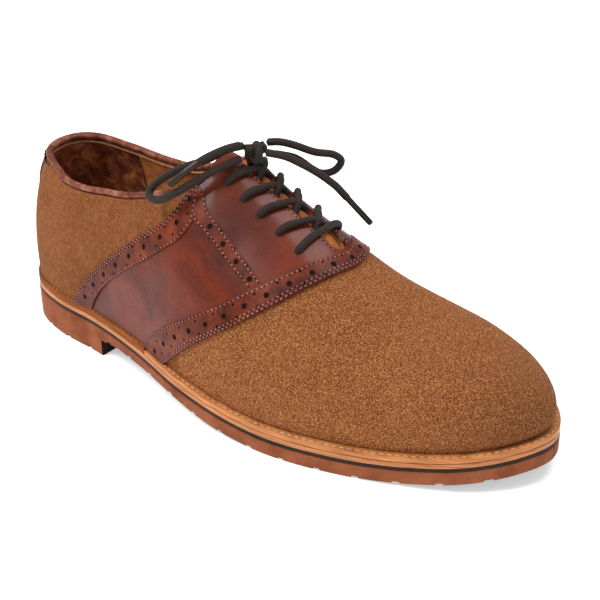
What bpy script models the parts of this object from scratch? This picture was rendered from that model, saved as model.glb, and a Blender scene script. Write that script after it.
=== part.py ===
"""A saddle shoe for the right foot, with a tied lace: sole, upper and trim.

Metres, +X to the toe, +Y to the wearer's left (the medial side), +Z up. The
origin is on the floor, under the middle of the sole.
"""
import bpy
import bmesh
import numpy as np
from math import pi, cos, sin, sqrt

for old in list(bpy.data.objects):
    bpy.data.objects.remove(old, do_unlink=True)

# Sizes, in metres
LENGTH = 0.305            # sole, heel to toe tip
HEEL_WIDTH = 0.0775       # sole across the heel seat
WAIST_WIDTH = 0.085       # sole across the waist
BALL_WIDTH = 0.1035       # sole across the ball of the foot
TOE_WIDTH = 0.0905        # sole across the toes
OUTSOLE = 0.0072          # moulded rubber under the forepart
RUBBER_LINE = 0.0012      # thin dark rubber layer
MIDSOLE = 0.0028          # leather midsole
WELT = 0.0028             # stitched leather welt
HEEL_LIFT = 0.0098        # floor to the outsole's underside, over the heel
TOE_SPRING = 0.0085       # floor to the outsole's underside, at the toe tip
LEDGE = 0.0036            # welt that shows outside the upper, at the ball
BACK_HEIGHT = 0.0945      # floor to the collar at the back of the heel
INSTEP_HEIGHT = 0.1150    # floor to the crown of the instep, at the top eyelets
BALL_HEIGHT = 0.0680      # floor to the crown over the ball
TOE_HEIGHT = 0.0530       # floor to the crown over the toes
BULGE = 0.0030            # how far the sides swell out past the feather edge
WALL = 0.0022             # leather and lining of the upper
GAP = 0.0003              # clearance between pieces that touch
LAYER_STEP = 0.0003       # how far the sole's layers step in from its edge
HEEL_BREAST = 0.235       # share of the length where the heel block ends
WELT_START = 0.362        # share of the length where the welt begins
WELT_WIDTH = 0.0080       # welt and heel strip, from the sole's edge inwards
INSOLE = 0.0030           # footbed
TONGUE = 0.0022           # tongue
TONGUE_SLACK = 0.0009     # between the facings' lining and the tongue
TONGUE_WIDTH = 0.0420     # tongue at its top
TONGUE_TOP = 0.415        # share of the length where the tongue's top lies
TONGUE_END = 0.680        # share of the length where it meets the vamp
SEAM = 0.0009             # clearance under leather laid on curved leather
SADDLE = 0.0013           # leather of the saddle
BAND = 0.0009             # leather of the punched bands
BINDING = 0.0034          # height of the rolled collar binding
BINDING_WIDTH = 0.0042    # its width across the wall
BINDING_INSIDE = 0.0005   # how far it stands in past the wall
BACKSTAY = 0.0011         # leather of the strip up the back
BACKSTAY_REACH = 0.0090   # half its width, as a share of the length's stations
LACE_THICK = 0.0036       # round lace
AGLET_LENGTH = 0.0170     # stiff end of the lace
KNOT_SIZE = 0.0110        # bow's knot along the shoe
GROOVE = 0.0028           # gap between two lugs of the tread
GROOVE_DEPTH = 0.0016     # its depth
GROOVE_PITCH = 0.0175     # from one gap to the next
THROAT_GAP_TOP = 0.0090   # opening between the facings, at the top eyelets
THROAT_GAP_LOW = 0.0085   # the same at the lowest bar of the lace
FACING_TOP = 0.445        # share of the length where the facings begin
THROAT_END = 0.635        # share of the length where the throat ends

# Tables of the form
# share of length, lateral and medial half width as shares of the width named
OUTLINE = (
    (0.012, 0.213, 0.200, HEEL_WIDTH),
    (0.050, 0.368, 0.350, HEEL_WIDTH),
    (0.120, 0.466, 0.454, HEEL_WIDTH),
    (0.220, 0.510, 0.487, HEEL_WIDTH),
    (0.340, 0.547, 0.388, WAIST_WIDTH),
    (0.450, 0.645, 0.353, WAIST_WIDTH),
    (0.560, 0.566, 0.348, BALL_WIDTH),
    (0.660, 0.551, 0.449, BALL_WIDTH),
    (0.750, 0.490, 0.498, BALL_WIDTH),
    (0.840, 0.455, 0.547, TOE_WIDTH),
    (0.920, 0.320, 0.440, TOE_WIDTH),
    (0.975, 0.137, 0.270, TOE_WIDTH),
)
TIP_SHARE = 0.060         # toe tip towards the medial side, share of TOE_WIDTH

# share of length, share of the heel lift, share of the toe spring
SOLE_RISE = (
    (0.00, 1.00, 0.00),
    (0.14, 0.97, 0.00),
    (0.26, 0.90, 0.00),
    (0.36, 0.70, 0.00),
    (0.46, 0.41, 0.00),
    (0.56, 0.13, 0.00),
    (0.64, 0.00, 0.00),
    (0.74, 0.00, 0.00),
    (0.82, 0.00, 0.12),
    (0.90, 0.00, 0.43),
    (1.00, 0.00, 1.00),
)
# share of length, crown height, spine off centre (share of the ball's width),
# roundness of the plan, of the lateral wall and of the medial wall,
# share of the bulge, share of the ledge
SECTIONS = (
    (0.00, 1.30 * BACK_HEIGHT, 0.000, 2.0, 3.0, 3.0, 0.60, 0.40),
    (0.06, 1.22 * BACK_HEIGHT, 0.000, 2.0, 2.8, 2.8, 0.60, 0.42),
    (0.12, 1.13 * BACK_HEIGHT, 0.000, 2.0, 2.6, 2.6, 0.50, 0.45),
    (0.24, 1.15 * BACK_HEIGHT, 0.010, 2.0, 2.1, 2.2, 0.40, 0.60),
    (0.34, 1.01 * INSTEP_HEIGHT, 0.016, 2.0, 1.85, 2.0, 0.40, 0.70),
    (0.42, 1.00 * INSTEP_HEIGHT, 0.014, 2.0, 1.75, 2.0, 0.50, 0.80),
    (0.52, 0.865 * INSTEP_HEIGHT, 0.014, 2.0, 1.7, 1.9, 0.60, 0.85),
    (0.62, 1.22 * BALL_HEIGHT, 0.016, 2.1, 1.8, 1.9, 0.70, 0.95),
    (0.70, 1.00 * BALL_HEIGHT, 0.022, 2.3, 2.0, 2.0, 0.75, 1.00),
    (0.78, 1.11 * TOE_HEIGHT, 0.030, 2.6, 2.2, 2.2, 0.80, 1.05),
    (0.86, 1.00 * TOE_HEIGHT, 0.040, 2.8, 2.4, 2.4, 0.90, 1.10),
    (0.93, 0.92 * TOE_HEIGHT, 0.045, 2.9, 2.5, 2.5, 1.00, 1.15),
    (1.00, 0.80 * TOE_HEIGHT, 0.050, 2.9, 2.5, 2.5, 1.00, 1.20),
)
# share of length, height of the collar
TOPLINE = (
    (0.00, 1.000 * BACK_HEIGHT),
    (0.04, 0.990 * BACK_HEIGHT),
    (0.08, 0.973 * BACK_HEIGHT),
    (0.12, 0.947 * BACK_HEIGHT),
    (0.16, 0.926 * BACK_HEIGHT),
    (0.20, 0.913 * BACK_HEIGHT),
    (0.24, 0.915 * BACK_HEIGHT),
    (0.28, 0.770 * INSTEP_HEIGHT),
    (0.32, 0.805 * INSTEP_HEIGHT),
    (0.36, 0.852 * INSTEP_HEIGHT),
    (0.40, 0.904 * INSTEP_HEIGHT),
    (0.45, 0.970 * INSTEP_HEIGHT),
)
# the saddle's rear edge and the inner edge of its band: share of length, height t
REAR_EDGE = (
    (0.165, 0.000),
    (0.197, 0.090),
    (0.238, 0.210),
    (0.282, 0.310),
    (0.332, 0.415),
    (0.383, 0.540),
    (0.410, 0.680),
)
REAR_INNER = (
    (0.213, 0.000),
    (0.231, 0.072),
    (0.259, 0.155),
    (0.300, 0.245),
    (0.345, 0.332),
    (0.384, 0.420),
    (0.420, 0.507),
    (0.436, 0.590),
)
# the saddle's front edge and the inner edge of its band
FRONT_EDGE = (
    (0.408, 0.000),
    (0.450, 0.113),
    (0.492, 0.220),
    (0.564, 0.400),
    (0.615, 0.580),
    (0.648, 0.792),
    (0.665, 1.000),
)
FRONT_INNER = (
    (0.345, 0.000),
    (0.378, 0.095),
    (0.458, 0.255),
    (0.527, 0.421),
    (0.559, 0.515),
    (0.584, 0.603),
    (0.603, 0.690),
    (0.622, 0.820),
    (0.643, 1.000),
)
# the slanting band: share of length, its lower and its upper edge
SLANT = (
    (0.4380, 0.594, 0.668),
    (0.4700, 0.584, 0.655),
    (0.5130, 0.567, 0.637),
    (0.5560, 0.542, 0.611),
    (0.6000, 0.510, 0.580),
)
SLANT_END = 0.575         # share of length where the slanting band meets the front one
# rows of lace holes, lowest first: share of length
EYELET_ROWS = (0.597, 0.560, 0.523, 0.491, 0.461)
EYELET_HEIGHT = 0.810     # how far up the section they lie, as t
HEEL_FAN_SHARE = 0.150          # share of length where the heel's sections fan out
TOE_FAN_SHARE = 0.810           # the same at the toe
FAN_BLEND_SHARE = 0.080         # length over which the fans ease in, as a share


def table(rows, column, x):
    """A smooth curve with no overshoot through one column of a table."""
    xs = np.array([row[0] for row in rows])
    ys = np.array([row[column] for row in rows])
    step = np.diff(xs)
    rise = np.diff(ys) / step
    slope = np.zeros(len(xs))
    for i in range(1, len(xs) - 1):
        if rise[i - 1] * rise[i] > 0:
            a = 2 * step[i] + step[i - 1]
            b = step[i] + 2 * step[i - 1]
            slope[i] = (a + b) / (a / rise[i - 1] + b / rise[i])
    slope[0] = rise[0]
    slope[-1] = rise[-1]
    i = int(np.clip(np.searchsorted(xs, x, side="right") - 1, 0, len(step) - 1))
    h = step[i]
    u = min(max((x - xs[i]) / h, 0.0), 1.0)
    return float((2 * u**3 - 3 * u**2 + 1) * ys[i] + (u**3 - 2 * u**2 + u) * h * slope[i]
                 + (3 * u**2 - 2 * u**3) * ys[i + 1] + (u**3 - u**2) * h * slope[i + 1])


def closed_outline(count=720):
    """The sole's edge as a smooth closed curve, from the back of the heel along
    the lateral side to the toe tip and back along the medial side."""
    points = [(0.0, 0.0)]
    points += [(row[0] * LENGTH, -row[1] * row[3]) for row in OUTLINE]
    points += [(LENGTH, TIP_SHARE * TOE_WIDTH)]
    points += [(row[0] * LENGTH, row[2] * row[3]) for row in reversed(OUTLINE)]
    p = np.array(points)
    n = len(p)
    knot = [0.0]
    for i in range(n):
        knot.append(knot[-1] + sqrt(np.linalg.norm(p[(i + 1) % n] - p[i])))
    knot = np.array(knot)
    tangent = []
    for i in range(n):
        before = knot[i] - knot[i - 1] if i else knot[n] - knot[n - 1]
        after = knot[i + 1] - knot[i]
        d0 = (p[i] - p[i - 1]) / before
        d1 = (p[(i + 1) % n] - p[i]) / after
        tangent.append((d0 * after + d1 * before) / (before + after))
    curve = []
    for u in np.linspace(0, knot[n], count, endpoint=False):
        i = int(np.clip(np.searchsorted(knot, u, side="right") - 1, 0, n - 1))
        h = knot[i + 1] - knot[i]
        v = (u - knot[i]) / h
        curve.append((2 * v**3 - 3 * v**2 + 1) * p[i] + (v**3 - 2 * v**2 + v) * h * tangent[i]
                     + (3 * v**2 - 2 * v**3) * p[(i + 1) % n]
                     + (v**3 - v**2) * h * tangent[(i + 1) % n])
    return np.array(curve)


EDGE = closed_outline()
TIP = int(EDGE[:, 0].argmax())
LATERAL = EDGE[:TIP + 1]
MEDIAL = np.vstack([EDGE[TIP:], EDGE[:1]])[::-1]
CENTRE_X = LENGTH / 2
CENTRE_Y = (EDGE[:, 1].min() + EDGE[:, 1].max()) / 2


def edge(x, side, inset=0.0):
    """A point of the sole's edge at a share x of the length; side is -1 lateral
    and +1 medial; inset moves it square to the edge, into the sole."""
    line = LATERAL if side < 0 else MEDIAL
    here = min(max(x, 0.0), 1.0) * LENGTH
    i = int(np.clip(np.searchsorted(line[:, 0], here), 1, len(line) - 1))
    a, b = line[i - 1], line[i]
    u = (here - a[0]) / max(b[0] - a[0], 1e-9)
    point = a + (b - a) * min(max(u, 0.0), 1.0)
    if inset == 0.0:
        return point
    lo, hi = max(i - 3, 0), min(i + 2, len(line) - 1)
    along = line[hi] - line[lo]
    if lo == 0 and x < 0.004:
        along = np.array([x / 0.004, side * (1 - x / 0.004)])
    if hi == len(line) - 1 and x > 0.996:
        w = (1 - x) / 0.004
        along = np.array([w, -side * (1 - w)])
    along = along / np.linalg.norm(along)
    inward = np.array([side * along[1], -side * along[0]])
    return point + inward * inset


def under(x):
    """Height of the thin outsole's underside over the floor."""
    return table(SOLE_RISE, 1, x) * HEEL_LIFT + table(SOLE_RISE, 2, x) * TOE_SPRING


STACK = OUTSOLE + RUBBER_LINE + MIDSOLE + WELT


def seat(x):
    """Height of the welt's top, where the upper stands."""
    return under(x) + STACK


def eased(x, low, high, width):
    """Keeps x between low and high with a soft bend at each end."""
    d = min(max(0.5 + 0.5 * (x - low) / width, 0.0), 1.0)
    x = low * (1 - d) + x * d + width * d * (1 - d)
    d = min(max(0.5 + 0.5 * (high - x) / width, 0.0), 1.0)
    return high * (1 - d) + x * d - width * d * (1 - d)


def raw(x, side, t):
    ledge = table(SECTIONS, 7, x) * LEDGE
    foot = edge(x, side, ledge)
    spine_x = eased(x, HEEL_FAN_SHARE, TOE_FAN_SHARE, FAN_BLEND_SHARE / 2)
    spine = np.array([spine_x * LENGTH, table(SECTIONS, 2, spine_x) * BALL_WIDTH])
    p = table(SECTIONS, 3, x)
    q = table(SECTIONS, 4 if side < 0 else 5, x)
    # near either end the two walls share one form
    near = min(x / 0.03, (1 - x) / 0.02, 1.0)
    q = near * q + (1 - near) * 0.5 * (table(SECTIONS, 4, x) + table(SECTIONS, 5, x))
    reach = max(cos(pi / 2 * t), 0.0) ** (2 / p)
    climb = max(sin(pi / 2 * t), 0.0) ** (2 / q)
    out = foot - spine
    plan = spine + out * reach
    plan = plan + out / np.linalg.norm(out) * table(SECTIONS, 6, x) * BULGE * 4 * climb * (1 - climb)
    at = min(max(plan[0] / LENGTH, 0.0), 1.0)
    low = seat(at) + GAP
    return np.array([plan[0], plan[1], low + (table(SECTIONS, 1, at) - low) * climb])


def shell(x, side, t, off=0.0):
    """A point of the upper's outer surface: x the station along the shoe, t from
    0 at the feather edge to 1 at the crown, off the height above the leather."""
    point = raw(x, side, t)
    if off != 0.0:
        e = 0.004
        x0, x1 = max(x - e, 0.0005), min(x + e, 0.9995)
        t0, t1 = max(t - 0.01, 0.002), min(t + 0.01, 0.998)
        du = raw(x1, side, t) - raw(x0, side, t)
        dv = raw(x, side, t1) - raw(x, side, t0)
        n = np.cross(du, dv) * -side
        size = np.linalg.norm(n)
        n = n / size if size > 1e-12 else np.array([0.0, 0.0, 1.0])
        if t > 0.93:
            # on the crown the two sides share the crown line's own normal
            w = (t - 0.93) / 0.07
            at = min(max(point[0] / LENGTH, e), 1 - e)
            slope = (table(SECTIONS, 1, at + e) - table(SECTIONS, 1, at - e)) / (2 * e * LENGTH)
            crown = np.array([-slope, 0.0, 1.0]) / sqrt(1 + slope * slope)
            n = n * (1 - w) + crown * w
            n = n / np.linalg.norm(n)
        point = point + n * off
    return point


def half_gap(x):
    u = min(max((x - FACING_TOP) / (THROAT_END - FACING_TOP), 0.0), 1.0)
    return 0.5 * (THROAT_GAP_TOP * (1 - u) + THROAT_GAP_LOW * u)


def share_at(x, side, test):
    """The share t at which a test on the surface point turns true."""
    low, high = 0.0, 1.0
    for _ in range(24):
        mid = 0.5 * (low + high)
        if test(raw(x, side, mid)):
            high = mid
        else:
            low = mid
    return 0.5 * (low + high)


def top_share(x, side):
    """Where the upper ends: the collar, the facing's edge, or the crown."""
    if x > THROAT_END:
        return 1.0
    spine_y = table(SECTIONS, 2, eased(x, HEEL_FAN_SHARE, TOE_FAN_SHARE, FAN_BLEND_SHARE / 2)) * BALL_WIDTH
    gap = 1.0
    if x > 0.30:
        gap = share_at(x, side, lambda q: side * (q[1] - spine_y) < half_gap(x))
    if x > FACING_TOP:
        return gap
    height = table(TOPLINE, 1, x) - BINDING - GAP
    return min(gap, share_at(x, side, lambda q: q[2] > height))


def place(point):
    return (float(point[0]) - CENTRE_X, float(point[1]) - CENTRE_Y, float(point[2]))


def material(name, colour, rough, coat=0.0):
    made = bpy.data.materials.new(name)
    made.use_nodes = True
    node = made.node_tree.nodes["Principled BSDF"]
    node.inputs["Base Color"].default_value = (*colour, 1.0)
    node.inputs["Roughness"].default_value = rough
    node.inputs["Metallic"].default_value = 0.0
    node.inputs["Coat Weight"].default_value = coat
    return made


SUEDE = material("suede", (0.37, 0.16, 0.055), 0.95)
SADDLE_LEATHER = material("saddle_leather", (0.17, 0.045, 0.028), 0.38, 0.3)
BAND_LEATHER = material("band_leather", (0.24, 0.06, 0.035), 0.45, 0.2)
SOLE_RUBBER = material("sole_rubber", (0.36, 0.10, 0.05), 0.7)
LINE_RUBBER = material("line_rubber", (0.035, 0.033, 0.032), 0.6)
SOLE_LEATHER = material("sole_leather", (0.52, 0.24, 0.08), 0.55)
RAND_LEATHER = material("rand_leather", (0.30, 0.11, 0.045), 0.6)
LINING = material("lining", (0.30, 0.13, 0.05), 0.9)
TONGUE_LEATHER = material("tongue_leather", (0.45, 0.17, 0.06), 0.8)
LACE = material("lace", (0.025, 0.014, 0.01), 0.8)


def body(name, verts, faces, made, smooth=50):
    """One closed mesh object, its faces pointing out, shaded smooth."""
    mesh = bpy.data.meshes.new(name)
    bm = bmesh.new()
    points = [bm.verts.new(v) for v in verts]
    for face in faces:
        corners = []
        for i in face:
            if not corners or points[i] is not corners[-1]:
                corners.append(points[i])
        if len(corners) > 2 and corners[0] is corners[-1]:
            corners.pop()
        if len(set(corners)) > 2:
            bm.faces.new(corners)
    bmesh.ops.triangulate(bm, faces=bm.faces[:])
    bmesh.ops.recalc_face_normals(bm, faces=bm.faces[:])
    if bm.calc_volume(signed=True) < 0:
        bmesh.ops.reverse_faces(bm, faces=bm.faces[:])
    bm.to_mesh(mesh)
    bm.free()
    mesh.materials.append(made)
    mesh.shade_smooth()
    mesh.set_sharp_from_angle(angle=smooth * pi / 180)
    thing = bpy.data.objects.new(name, mesh)
    bpy.context.scene.collection.objects.link(thing)
    return thing


def spaced(count, extra=()):
    """Stations closer together at both ends, with the extra ones put in."""
    xs = [0.5 - 0.5 * cos(pi * i / count) for i in range(count + 1)]
    kept = [x for x in xs if all(abs(x - other) > 0.004 or x in (0.0, 1.0) for other in extra)]
    return sorted(kept + list(extra))


def layer(name, made, stations, inset, low, high):
    """A slab with the sole's outline: low and high give its two heights."""
    n = len(stations)
    lateral = [edge(x, -1, inset) for x in stations]
    medial = [edge(x, 1, inset) for x in stations]
    lateral[0] = medial[0] = (lateral[0] + medial[0]) / 2
    lateral[-1] = medial[-1] = (lateral[-1] + medial[-1]) / 2
    verts = []
    for height in (low, high):
        for line in (lateral, medial):
            for x, p in zip(stations, line):
                verts.append(place((p[0], p[1], height(x))))

    def at(top, side, i):
        if i in (0, n - 1):
            side = 0
        return (2 * top + side) * n + i

    faces = []
    for i in range(n - 1):
        for top in (0, 1):
            faces.append((at(top, 0, i), at(top, 0, i + 1), at(top, 1, i + 1), at(top, 1, i)))
        for side in (0, 1):
            faces.append((at(0, side, i), at(0, side, i + 1), at(1, side, i + 1), at(1, side, i)))
    used = sorted({i for f in faces for i in f})
    index = {old: new for new, old in enumerate(used)}
    return body(name, [verts[i] for i in used], [tuple(index[i] for i in f) for f in faces], made)


# Sole: outsole moulded in one with its heel, a thin dark layer and the midsole
BREAST_SLOPE = 0.0015
grooves = []
place_at = 0.5 * GROOVE_PITCH
while place_at < LENGTH - 0.4 * GROOVE_PITCH:
    share = place_at / LENGTH
    if abs(share - HEEL_BREAST) * LENGTH > 1.2 * GROOVE:
        grooves.append(share)
    place_at += GROOVE_PITCH
half = 0.5 * GROOVE / LENGTH
groove_stations = []
for g in grooves:
    groove_stations += [g - half - 0.0015, g - half, g + half, g + half + 0.0015]


def tread(x):
    floor = 0.0 if x <= HEEL_BREAST else under(x)
    for g in grooves:
        if abs(x - g) <= half + 1e-6:
            return floor + GROOVE_DEPTH
    return floor


layer("outsole", SOLE_RUBBER,
      spaced(40, tuple(groove_stations) + (HEEL_BREAST, HEEL_BREAST + BREAST_SLOPE, 0.64, 0.74)),
      0.0, tread, lambda x: under(x) + OUTSOLE)
layer("rubber_line", LINE_RUBBER, spaced(40), LAYER_STEP,
      lambda x: under(x) + OUTSOLE + GAP, lambda x: under(x) + OUTSOLE + RUBBER_LINE)
layer("midsole", SOLE_LEATHER, spaced(40), 1.6 * LAYER_STEP,
      lambda x: under(x) + OUTSOLE + RUBBER_LINE + GAP,
      lambda x: under(x) + OUTSOLE + RUBBER_LINE + MIDSOLE)


def strip(name, made, path, outer, inner, low, high):
    """A flat strip along the sole's edge, between two insets from it."""
    verts = []
    for x, side in path:
        for inset, height in ((outer, low), (inner, low), (inner, high), (outer, high)):
            p = edge(x, side, inset)
            verts.append(place((p[0], p[1], height(min(max(p[0] / LENGTH, 0.0), 1.0)))))
    faces = []
    for i in range(len(path) - 1):
        for j in range(4):
            faces.append((4 * i + j, 4 * i + (j + 1) % 4, 4 * i + 4 + (j + 1) % 4, 4 * i + 4 + j))
    last = 4 * (len(path) - 1)
    faces += [(0, 1, 2, 3), (last, last + 1, last + 2, last + 3)]
    return body(name, verts, faces, made)


front = [x for x in spaced(44) if x > WELT_START + 0.01]
front_path = [(WELT_START, -1)] + [(x, -1) for x in front] + [(x, 1) for x in front[-2::-1]]
strip("welt", SOLE_LEATHER, front_path + [(WELT_START, 1)], 0.7 * LAYER_STEP, WELT_WIDTH,
      lambda x: under(x) + STACK - WELT + GAP, seat)
RAND_END = WELT_START - 2 * GAP / LENGTH
rear = [x for x in spaced(44) if x < RAND_END - 0.01]
rear_path = [(RAND_END, -1)] + [(x, -1) for x in rear[::-1]] + [(x, 1) for x in rear[1:]]
strip("heel_rand", RAND_LEATHER, rear_path + [(RAND_END, 1)], 1.3 * LAYER_STEP, WELT_WIDTH,
      lambda x: under(x) + STACK - WELT + GAP, seat)


def key(x, side, t):
    """Names a surface point so that the two sides share their common ones."""
    if t > 0.99999:
        return ("crown", round(eased(x, HEEL_FAN_SHARE, TOE_FAN_SHARE, FAN_BLEND_SHARE / 2), 5))
    if x in (0.0, 1.0):
        return ("end", x, round(t, 6))
    return (side, round(x, 6), round(t, 6))


def sheet(name, made, strips, low, high):
    """A curved sheet on the upper's own surface, from the height low to high.
    Each strip is a list of columns, and a column a list of (x, side, t)."""
    names, heights = {}, []
    faces = []
    for columns in strips:
        for a, b in zip(columns, columns[1:]):
            for i in range(len(a) - 1):
                face = []
                for x, side, t in (a[i], b[i], b[i + 1], a[i + 1]):
                    name_of = key(x, side, t)
                    if name_of not in names:
                        names[name_of] = len(heights)
                        heights.append([])
                    if (x, side, t) not in heights[names[name_of]]:
                        heights[names[name_of]].append((x, side, t))
                    if names[name_of] not in face:
                        face.append(names[name_of])
                if len(face) > 2:
                    faces.append(tuple(face) if columns[0][0][1] < 0 else tuple(reversed(face)))
    count = len(heights)
    verts = []
    for off in (high, low):
        for same in heights:
            p = sum(shell(x, side, t, off) for x, side, t in same) / len(same)
            if same[0][2] == 0.0:
                p[2] = seat(min(max(p[0] / LENGTH, 0.0), 1.0)) + GAP
            verts.append(place(p))
    uses = {}
    for face in faces:
        for a, b in zip(face, face[1:] + face[:1]):
            uses.setdefault((min(a, b), max(a, b)), []).append((a, b))
    both = list(faces) + [tuple(i + count for i in reversed(f)) for f in faces]
    for edges in uses.values():
        if len(edges) == 1:
            a, b = edges[0]
            both.append((b, a, a + count, b + count))
    return body(name, verts, both, made)


def column(x, side, t0, t1, rows):
    """Rows of points up one station; the topmost closes on the crown at t 1."""
    return [(x, side, t0 + (t1 - t0) * i / rows) for i in range(rows + 1)]


# Upper: one hollow piece with a real wall, open at the collar, the throat and below
ROWS = 8
marks = [FACING_TOP, THROAT_END] + [row[0] for row in REAR_EDGE + FRONT_EDGE]
upper_stations = spaced(36, tuple(sorted(marks)))
upper_strips = []
for side in (-1, 1):
    upper_strips.append([column(x, side, 0.0, top_share(x, side), ROWS) for x in upper_stations])
sheet("upper", SUEDE, upper_strips, -WALL, 0.0)

# Saddle, over the waist and round the front of the throat
saddle_stations = [x for x in upper_stations if REAR_EDGE[0][0] <= x <= FRONT_EDGE[-1][0]]
saddle_strips = []
for side in (-1, 1):
    columns = []
    for x in saddle_stations:
        x = float(x)
        low = 0.0 if x <= FRONT_EDGE[0][0] else table(FRONT_EDGE, 1, x)
        high = top_share(x, side)
        if x < REAR_EDGE[-1][0]:
            high = min(high, table(REAR_EDGE, 1, x))
        if x > THROAT_END:
            high = 1.0
        columns.append(column(x, side, low, max(high, low), 8))
    saddle_strips.append(columns)
sheet("saddle", SADDLE_LEATHER, saddle_strips, SEAM, SEAM + SADDLE)
ON_SADDLE = SEAM + SADDLE + 1.5 * SEAM


def band(name, stations, low, high, sides=(-1, 1), rows=2, end_at_crown=False):
    strips = []
    for side in sides:
        columns = []
        for x in stations:
            x = float(x)
            top = high(x, side)
            columns.append(column(x, side, low(x), max(top, low(x)), rows))
        strips.append(columns)
    return sheet(name, BAND_LEATHER, strips, ON_SADDLE, ON_SADDLE + BAND)


def rear_low(x):
    return 0.0 if x <= REAR_INNER[0][0] else table(REAR_INNER, 1, x)


def rear_high(x, side):
    top = top_share(x, side)
    return top if x >= REAR_EDGE[-1][0] else min(top, table(REAR_EDGE, 1, x))


def front_low(x):
    return 0.0 if x <= FRONT_EDGE[0][0] else table(FRONT_EDGE, 1, x)


def front_high(x, side):
    return 1.0 if x >= FRONT_INNER[-1][0] else table(FRONT_INNER, 1, x)



def between(first, last):
    """The upper's stations from first to last, with both ends put in."""
    inner = [x for x in upper_stations if first + 0.002 < x < last - 0.002]
    return [first] + inner + [last]


rear_stations = between(REAR_EDGE[0][0], REAR_INNER[-1][0])
front_stations = between(FRONT_INNER[0][0], FRONT_EDGE[-1][0])
BAND_GAP = 0.006
slant_stations = between(SLANT[0][0], SLANT_END)
for side, tag in ((-1, "lateral"), (1, "medial")):
    band("rear_band_" + tag, rear_stations, rear_low, rear_high, (side,), 3)
    band("slant_band_" + tag, slant_stations,
         lambda x: max(table(SLANT, 1, x), front_high(x, -1) + BAND_GAP),
         lambda x, s: table(SLANT, 2, x), (side,), 2)
band("front_band", front_stations, front_low, front_high, (-1, 1), 3)

# Strip up the back of the heel
stay_xs = [0.0, 0.0012, 0.0035, BACKSTAY_REACH]
sheet("backstay", BAND_LEATHER,
      [[column(x, side, 0.02, top_share(x, side), 8) for x in stay_xs] for side in (-1, 1)],
      SEAM, SEAM + BACKSTAY)

# Tongue, under the facings
tongue_stations = np.linspace(TONGUE_TOP, TONGUE_END, 13)
tongue_strips = []
for side in (-1, 1):
    columns = []
    for x in tongue_stations:
        x = float(x)
        u = (x - TONGUE_TOP) / (TONGUE_END - TONGUE_TOP)
        half_width = 0.5 * TONGUE_WIDTH * (1 - 0.35 * u) * min(1.0, 0.72 + 3.0 * u)
        spine_y = table(SECTIONS, 2, x) * BALL_WIDTH
        low = share_at(x, side, lambda q: side * (q[1] - spine_y) < half_width)
        columns.append(column(x, side, low, 1.0, 4))
    tongue_strips.append(columns)
INSIDE = -(WALL + TONGUE_SLACK)
sheet("tongue", TONGUE_LEATHER, tongue_strips, INSIDE - TONGUE, INSIDE)

# Footbed inside the upper
sole_stations = [x for x in spaced(40) if 0.0 < x < 1.0]
insole_stations = sole_stations[2:-2]


def insole_edge(x, side):
    return edge(x, side, table(SECTIONS, 7, x) * LEDGE + WALL + 3 * GAP)


ring = [insole_edge(x, -1) for x in insole_stations]
ring += [insole_edge(x, 1) for x in reversed(insole_stations)]
n = len(ring)
verts, faces = [], []
for lift in (GAP, GAP + INSOLE):
    for p in ring:
        verts.append(place((p[0], p[1], seat(p[0] / LENGTH) + lift)))
for i in range(n):
    j = (i + 1) % n
    faces.append((i, j, n + j, n + i))
for i in range(len(insole_stations) - 1):
    k = n - 1 - i
    for lift in (0, n):
        faces.append((lift + i, lift + i + 1, lift + k - 1, lift + k))
body("insole", verts, faces, LINING)

# Rolled binding round the collar, on the wall's top edge
binding_xs = [x for x in upper_stations if x < FACING_TOP - 0.006]
round_path = [(x, -1) for x in reversed(binding_xs)] + [(x, 1) for x in binding_xs[1:]]
SECTION = 8
verts, faces = [], []
for x, side in round_path:
    t = top_share(x, side)
    foot = (shell(x, side, t, 0.0) + shell(x, side, t, -WALL)) / 2
    out = shell(x, side, t, 0.0) - shell(x, side, t, -WALL)
    if x == 0.0:
        foot = (foot + (shell(x, 1, t, 0.0) + shell(x, 1, t, -WALL)) / 2) / 2
        out = np.array([-1.0, 0.0, out[2] / np.linalg.norm(out)])
    out = out / np.linalg.norm(out)
    up = np.array([0.0, 0.0, 1.0])
    up = up - out * np.dot(up, out)
    up = up / np.linalg.norm(up)
    shift = 0.5 * (BINDING_WIDTH - WALL) - BINDING_INSIDE
    middle = foot + out * shift + up * (1.6 * GAP + 0.5 * BINDING)
    for j in range(SECTION):
        a = 2 * pi * (j + 0.5) / SECTION
        verts.append(place(middle + out * 0.5 * BINDING_WIDTH * cos(a) / cos(pi / SECTION)
                           + up * 0.5 * BINDING * sin(a) / cos(pi / SECTION)))
count = len(round_path)
for i in range(count - 1):
    for j in range(SECTION):
        k = (j + 1) % SECTION
        faces.append((SECTION * i + j, SECTION * i + k, SECTION * (i + 1) + k, SECTION * (i + 1) + j))
faces.append(tuple(range(SECTION)))
faces.append(tuple(SECTION * (count - 1) + j for j in reversed(range(SECTION))))
body("collar_binding", verts, faces, BAND_LEATHER)


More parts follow.
